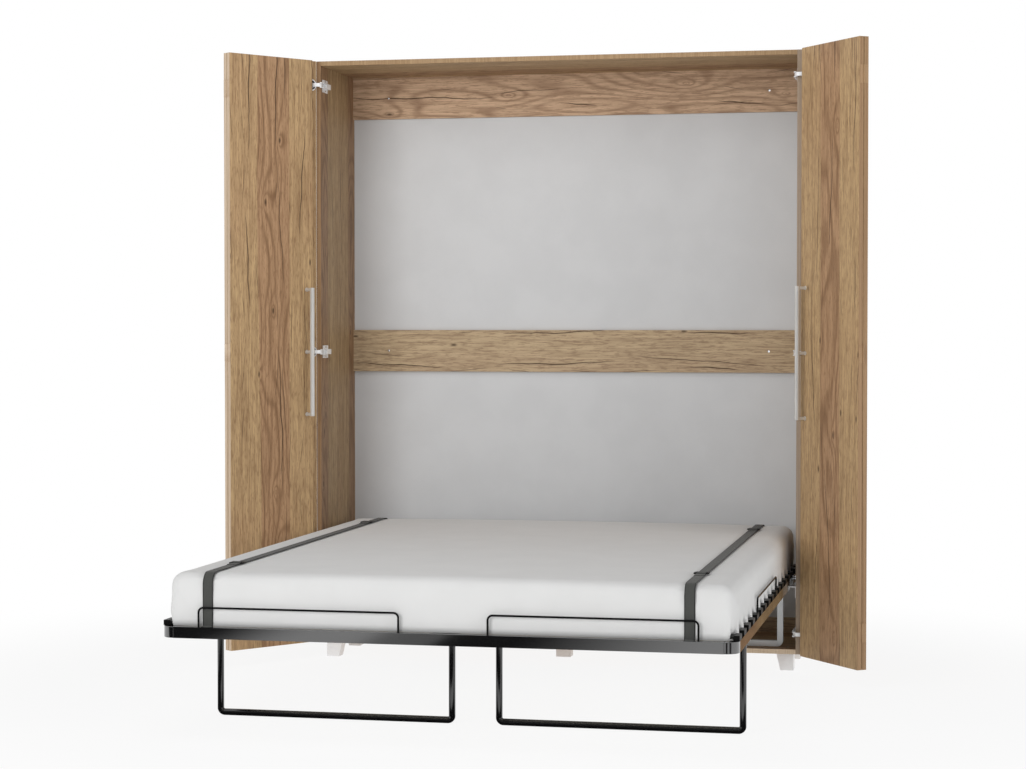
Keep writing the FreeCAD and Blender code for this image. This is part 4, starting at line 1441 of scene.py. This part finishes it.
    def slider(self, side: Side, y: float) -> Piece:
        """Models one slider: a frame with two slots and a middle bar.

        Args:
            side: the side of the bed.
            y: the place of its middle along the bed, in metres.

        Returns:
            The slider.
        """
        half_w, half_l = self.slider_width / 2, self.slider_length / 2
        low = self.top + self.thickness + self.play
        high = low + self.slider_height
        piece = block("Slider", (-half_w, y - half_l, low), (half_w, y + half_l, high))
        mesh = edit(piece, "EDGE")
        for edge in mesh.edges:
            edge.select = abs(edge.verts[0].co.z - edge.verts[1].co.z) > MM
        bmesh.update_edit_mesh(piece.data)
        bpy.ops.mesh.bevel(offset=self.slider_corner, segments=5, affect="EDGES")
        done()
        for end in (-1, 1):
            near, far = sorted((end * self.slider_bar / 2, end * (half_l - self.slider_bar)))
            slot = block("Slot", (-half_w + self.slider_bar, y + near, low - self.slot_reach),
                         (half_w - self.slider_bar, y + far, high + self.slot_reach))
            finish_with(piece, "BOOLEAN", operation="DIFFERENCE", object=slot, solver="EXACT")
            bpy.data.objects.remove(slot)
        eased(piece, self.slider_ease, 3)
        piece.data.transform(Matrix.Translation((side.value * self.x, 0, 0)))
        return piece

    def build(self) -> None:
        """Builds both straps, and all four sliders as one piece."""
        sliders = []
        for side in Side:
            self.strap(side)
            sliders += [self.slider(side, y) for y in self.slider_y]
        piece = sliders[0]
        alone(piece)
        for other in sliders[1:]:
            other.select_set(True)
        bpy.ops.object.join()
        piece.name = "Strap_Sliders"
        Finishes.dress(piece, PLASTIC)
        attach(piece, "bed")
        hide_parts("strap_buckles")
        log.info("straps and sliders")


# The studio


def placed(name: str, data: bpy.types.ID, place: Triple, turn: Triple) -> bpy.types.Object:
    """Adds a camera or a lamp at a place, turned by angles in radians.

    Args:
        name: the name of the camera or lamp.
        data: what it is.
        place: where it is, in metres.
        turn: its three turns, in radians.

    Returns:
        The camera or lamp.
    """
    thing = bpy.data.objects.new(name, data)
    thing.location = place
    thing.rotation_euler = turn
    bpy.context.scene.collection.objects.link(thing)
    return thing


@dataclass(frozen=True)
class Lamp:
    """A square soft lamp that faces a point, and shows in no gloss."""

    name: str
    place: Triple
    target: Triple
    size: float
    watts: float

    def build(self) -> None:
        """Adds the lamp."""
        data = bpy.data.lights.new(self.name, "AREA")
        data.shape = "SQUARE"
        data.size = self.size
        data.energy = self.watts
        aim = Vector(self.target) - Vector(self.place)
        turn = aim.to_track_quat("-Z", "Y").to_euler()
        placed(self.name, data, self.place, turn).visible_glossy = False


@dataclass
class Studio:
    """The camera at the photograph's place, a pale floor and soft lights."""

    place: Triple = (1.4864, -7.1047, 1.1707)
    left_turn: float = 0.2085
    down_turn: float = 0.0257
    lens: float = 79.80
    sensor: float = 36.0
    floor_size: float = 60.0
    floor_height: float = -0.5 * MM
    shadow_share: float = 0.11
    glow: float = 0.42
    horizon: float = 0.62
    zenith: float = 0.16
    front_dark: float = 0.12
    flag_left: Span = (-1.46, -1.05)
    flag_dimmed: Span = (-0.86, -0.72)
    flag_dimming: float = 0.58
    flag_end: Span = (-0.55, -0.51)
    flag_right: Span = (-0.30, 0.55)
    near_back: Span = (-0.60, -0.50)
    near_front: Span = (-2.3, -1.9)
    near_sides: Span = (-1.62, 1.3)
    near_soft: float = 0.12
    gap_left: Span = (-0.66, -0.60)
    gap_depth: Span = (-1.30, -0.84)
    far_bright: Span = (9.0, 12.0)
    darkest: float = 0.02
    shadow_fade: Span = (1.3, 2.9)
    corner_place: Span = (0.82, -1.03)
    stripe_angles: Span = (math.radians(6.0), math.radians(84.0))
    stripe_away: Span = (1.6, 2.0)
    stripe_turn: float = math.radians(31.0)
    stripe_from: float = math.radians(14.0)
    lamps: tuple[Lamp, ...] = (
        Lamp("Key", (-2.7, -6.4, 2.3), (0.0, 0.2, 1.0), 3.0, 168.0),
        Lamp("Fill", (5.8, -2.6, 1.9), (0.0, 0.0, 0.9), 2.6, 98.0),
        Lamp("Top", (-0.3, -1.3, 3.0), (0.0, -1.6, 0.4), 1.8, 22.0))

    def camera(self) -> None:
        """Sets up the camera."""
        data = bpy.data.cameras.new("Camera")
        data.lens = self.lens
        data.sensor_width = self.sensor
        turn = (math.pi / 2 - self.down_turn, 0, self.left_turn)
        bpy.context.scene.camera = placed("Camera", data, self.place, turn)

    def mirrored_floor(self, graph: Graph, x: Value, y: Value, away: Value) -> Value:
        """Returns the floor's brightness as metal and enamel mirror it.

        Dark flags lie in front of the bed, as in a studio. The foot rail, its right corner
        and the legs each mirror their own part of the floor.

        Args:
            graph: the floor's material.
            x: the place to the right, in metres.
            y: the place to the back, in metres.
            away: the distance from the middle of the floor, in metres.

        Returns:
            The strength of the light, from 0 to 1.
        """
        left = x.step(*self.flag_left) * (1.0 - x.step(*self.flag_dimmed) * self.flag_dimming)
        rail = graph.math("MAXIMUM", left * (1.0 - x.step(*self.flag_end)),
                          x.step(*self.flag_right))
        corner_x, corner_y = self.corner_place
        angle = graph.math("ARCTAN2", x - corner_x, corner_y - y)
        waves = 2 * math.pi / self.stripe_turn
        wave = graph.math("COSINE", angle * waves + -self.stripe_from * waves)
        stripes = wave * -0.5 + 0.5
        far = angle.window(*self.stripe_angles) * away.step(*self.stripe_away)
        rail = (stripes - rail) * far + rail
        sides = x.window(*self.near_sides, self.near_soft)
        flag = (1.0 - y.step(*self.near_back)) * sides
        gap = x.step(*self.gap_left) * y.window(*self.gap_depth)
        near = 1.0 - (flag - gap)
        bright = (rail - near) * (1.0 - y.step(*self.near_front)) + near
        bright = graph.math("MAXIMUM", bright, away.step(*self.far_bright))
        return graph.math("MAXIMUM", graph.math("MINIMUM", bright, 1.0), self.darkest)

    def floor(self) -> None:
        """Lays the pale floor: it keeps the shadow, and glows softly like a light table."""
        bpy.ops.object.select_all(action="DESELECT")
        bpy.ops.mesh.primitive_plane_add(size=self.floor_size,
                                         location=(0, 0, self.floor_height))
        floor = bpy.context.object
        floor.name = "Floor"
        graph = Graph("Floor_Pale")
        graph.set(Base_Color=(0.86, 0.86, 0.86, 1), Roughness=1.0, Specular_IOR_Level=0.0)
        x, y, _ = graph.split(graph.point())
        away = graph.math("SQRT", x * x + y * y)
        keeps = (1.0 - away.step(*self.shadow_fade)) * self.shadow_share
        camera, mirrored = graph.seen_rays()
        lit = graph.node("AddShader", graph.shaded, graph.node("Emission", WHITE, self.glow))
        seen = graph.node("MixShader", keeps, graph.node("Emission", WHITE, 1.0), graph.shaded)
        bright = self.mirrored_floor(graph, x, y, away)
        whole = graph.node("MixShader", camera, lit, seen)
        whole = graph.node("MixShader", mirrored, whole,
                           graph.node("Emission", WHITE, bright))
        graph.put(graph.output, whole)
        floor.data.materials.append(graph.material)

    def world(self) -> None:
        """Makes the soft light from all round, white where it is seen."""
        world = bpy.data.worlds.new("World")
        bpy.context.scene.world = world
        world.use_nodes = True
        tree = Tree(world.node_tree)
        output = tree.nodes.new("ShaderNodeOutputWorld").inputs[0]
        _, depth, height = tree.split(tree.node("TexCoord", out="Generated"))
        camera, mirrored = tree.seen_rays()
        soft = tree.node("Background", (0.98, 0.985, 1.0, 1),
                         tree.ramp(height, 0.0, 0.85, self.horizon, self.zenith))
        front = tree.ramp(depth, -0.80, -0.62, self.front_dark, 1.0)
        white = tree.node("Background", WHITE, tree.math("MAXIMUM", front, camera))
        seen = tree.math("MAXIMUM", camera, mirrored)
        tree.put(output, tree.node("MixShader", seen, soft, white))

    def build(self) -> None:
        """Builds the camera, the floor and the lights."""
        bpy.context.scene.view_settings.view_transform = "Standard"
        self.camera()
        self.floor()
        self.world()
        for lamp in self.lamps:
            lamp.build()
        log.info("camera, floor and lights")


def main() -> None:
    """Builds the bed and the studio in order."""
    logging.basicConfig(level=logging.INFO, format="%(name)s: %(message)s")
    for part in (Studio(), Cabinet(), Doors(), BED_FRAME, RUNNING_GEAR, Mattress(), Straps()):
        part.build()


if __name__ == "__main__":
    main()
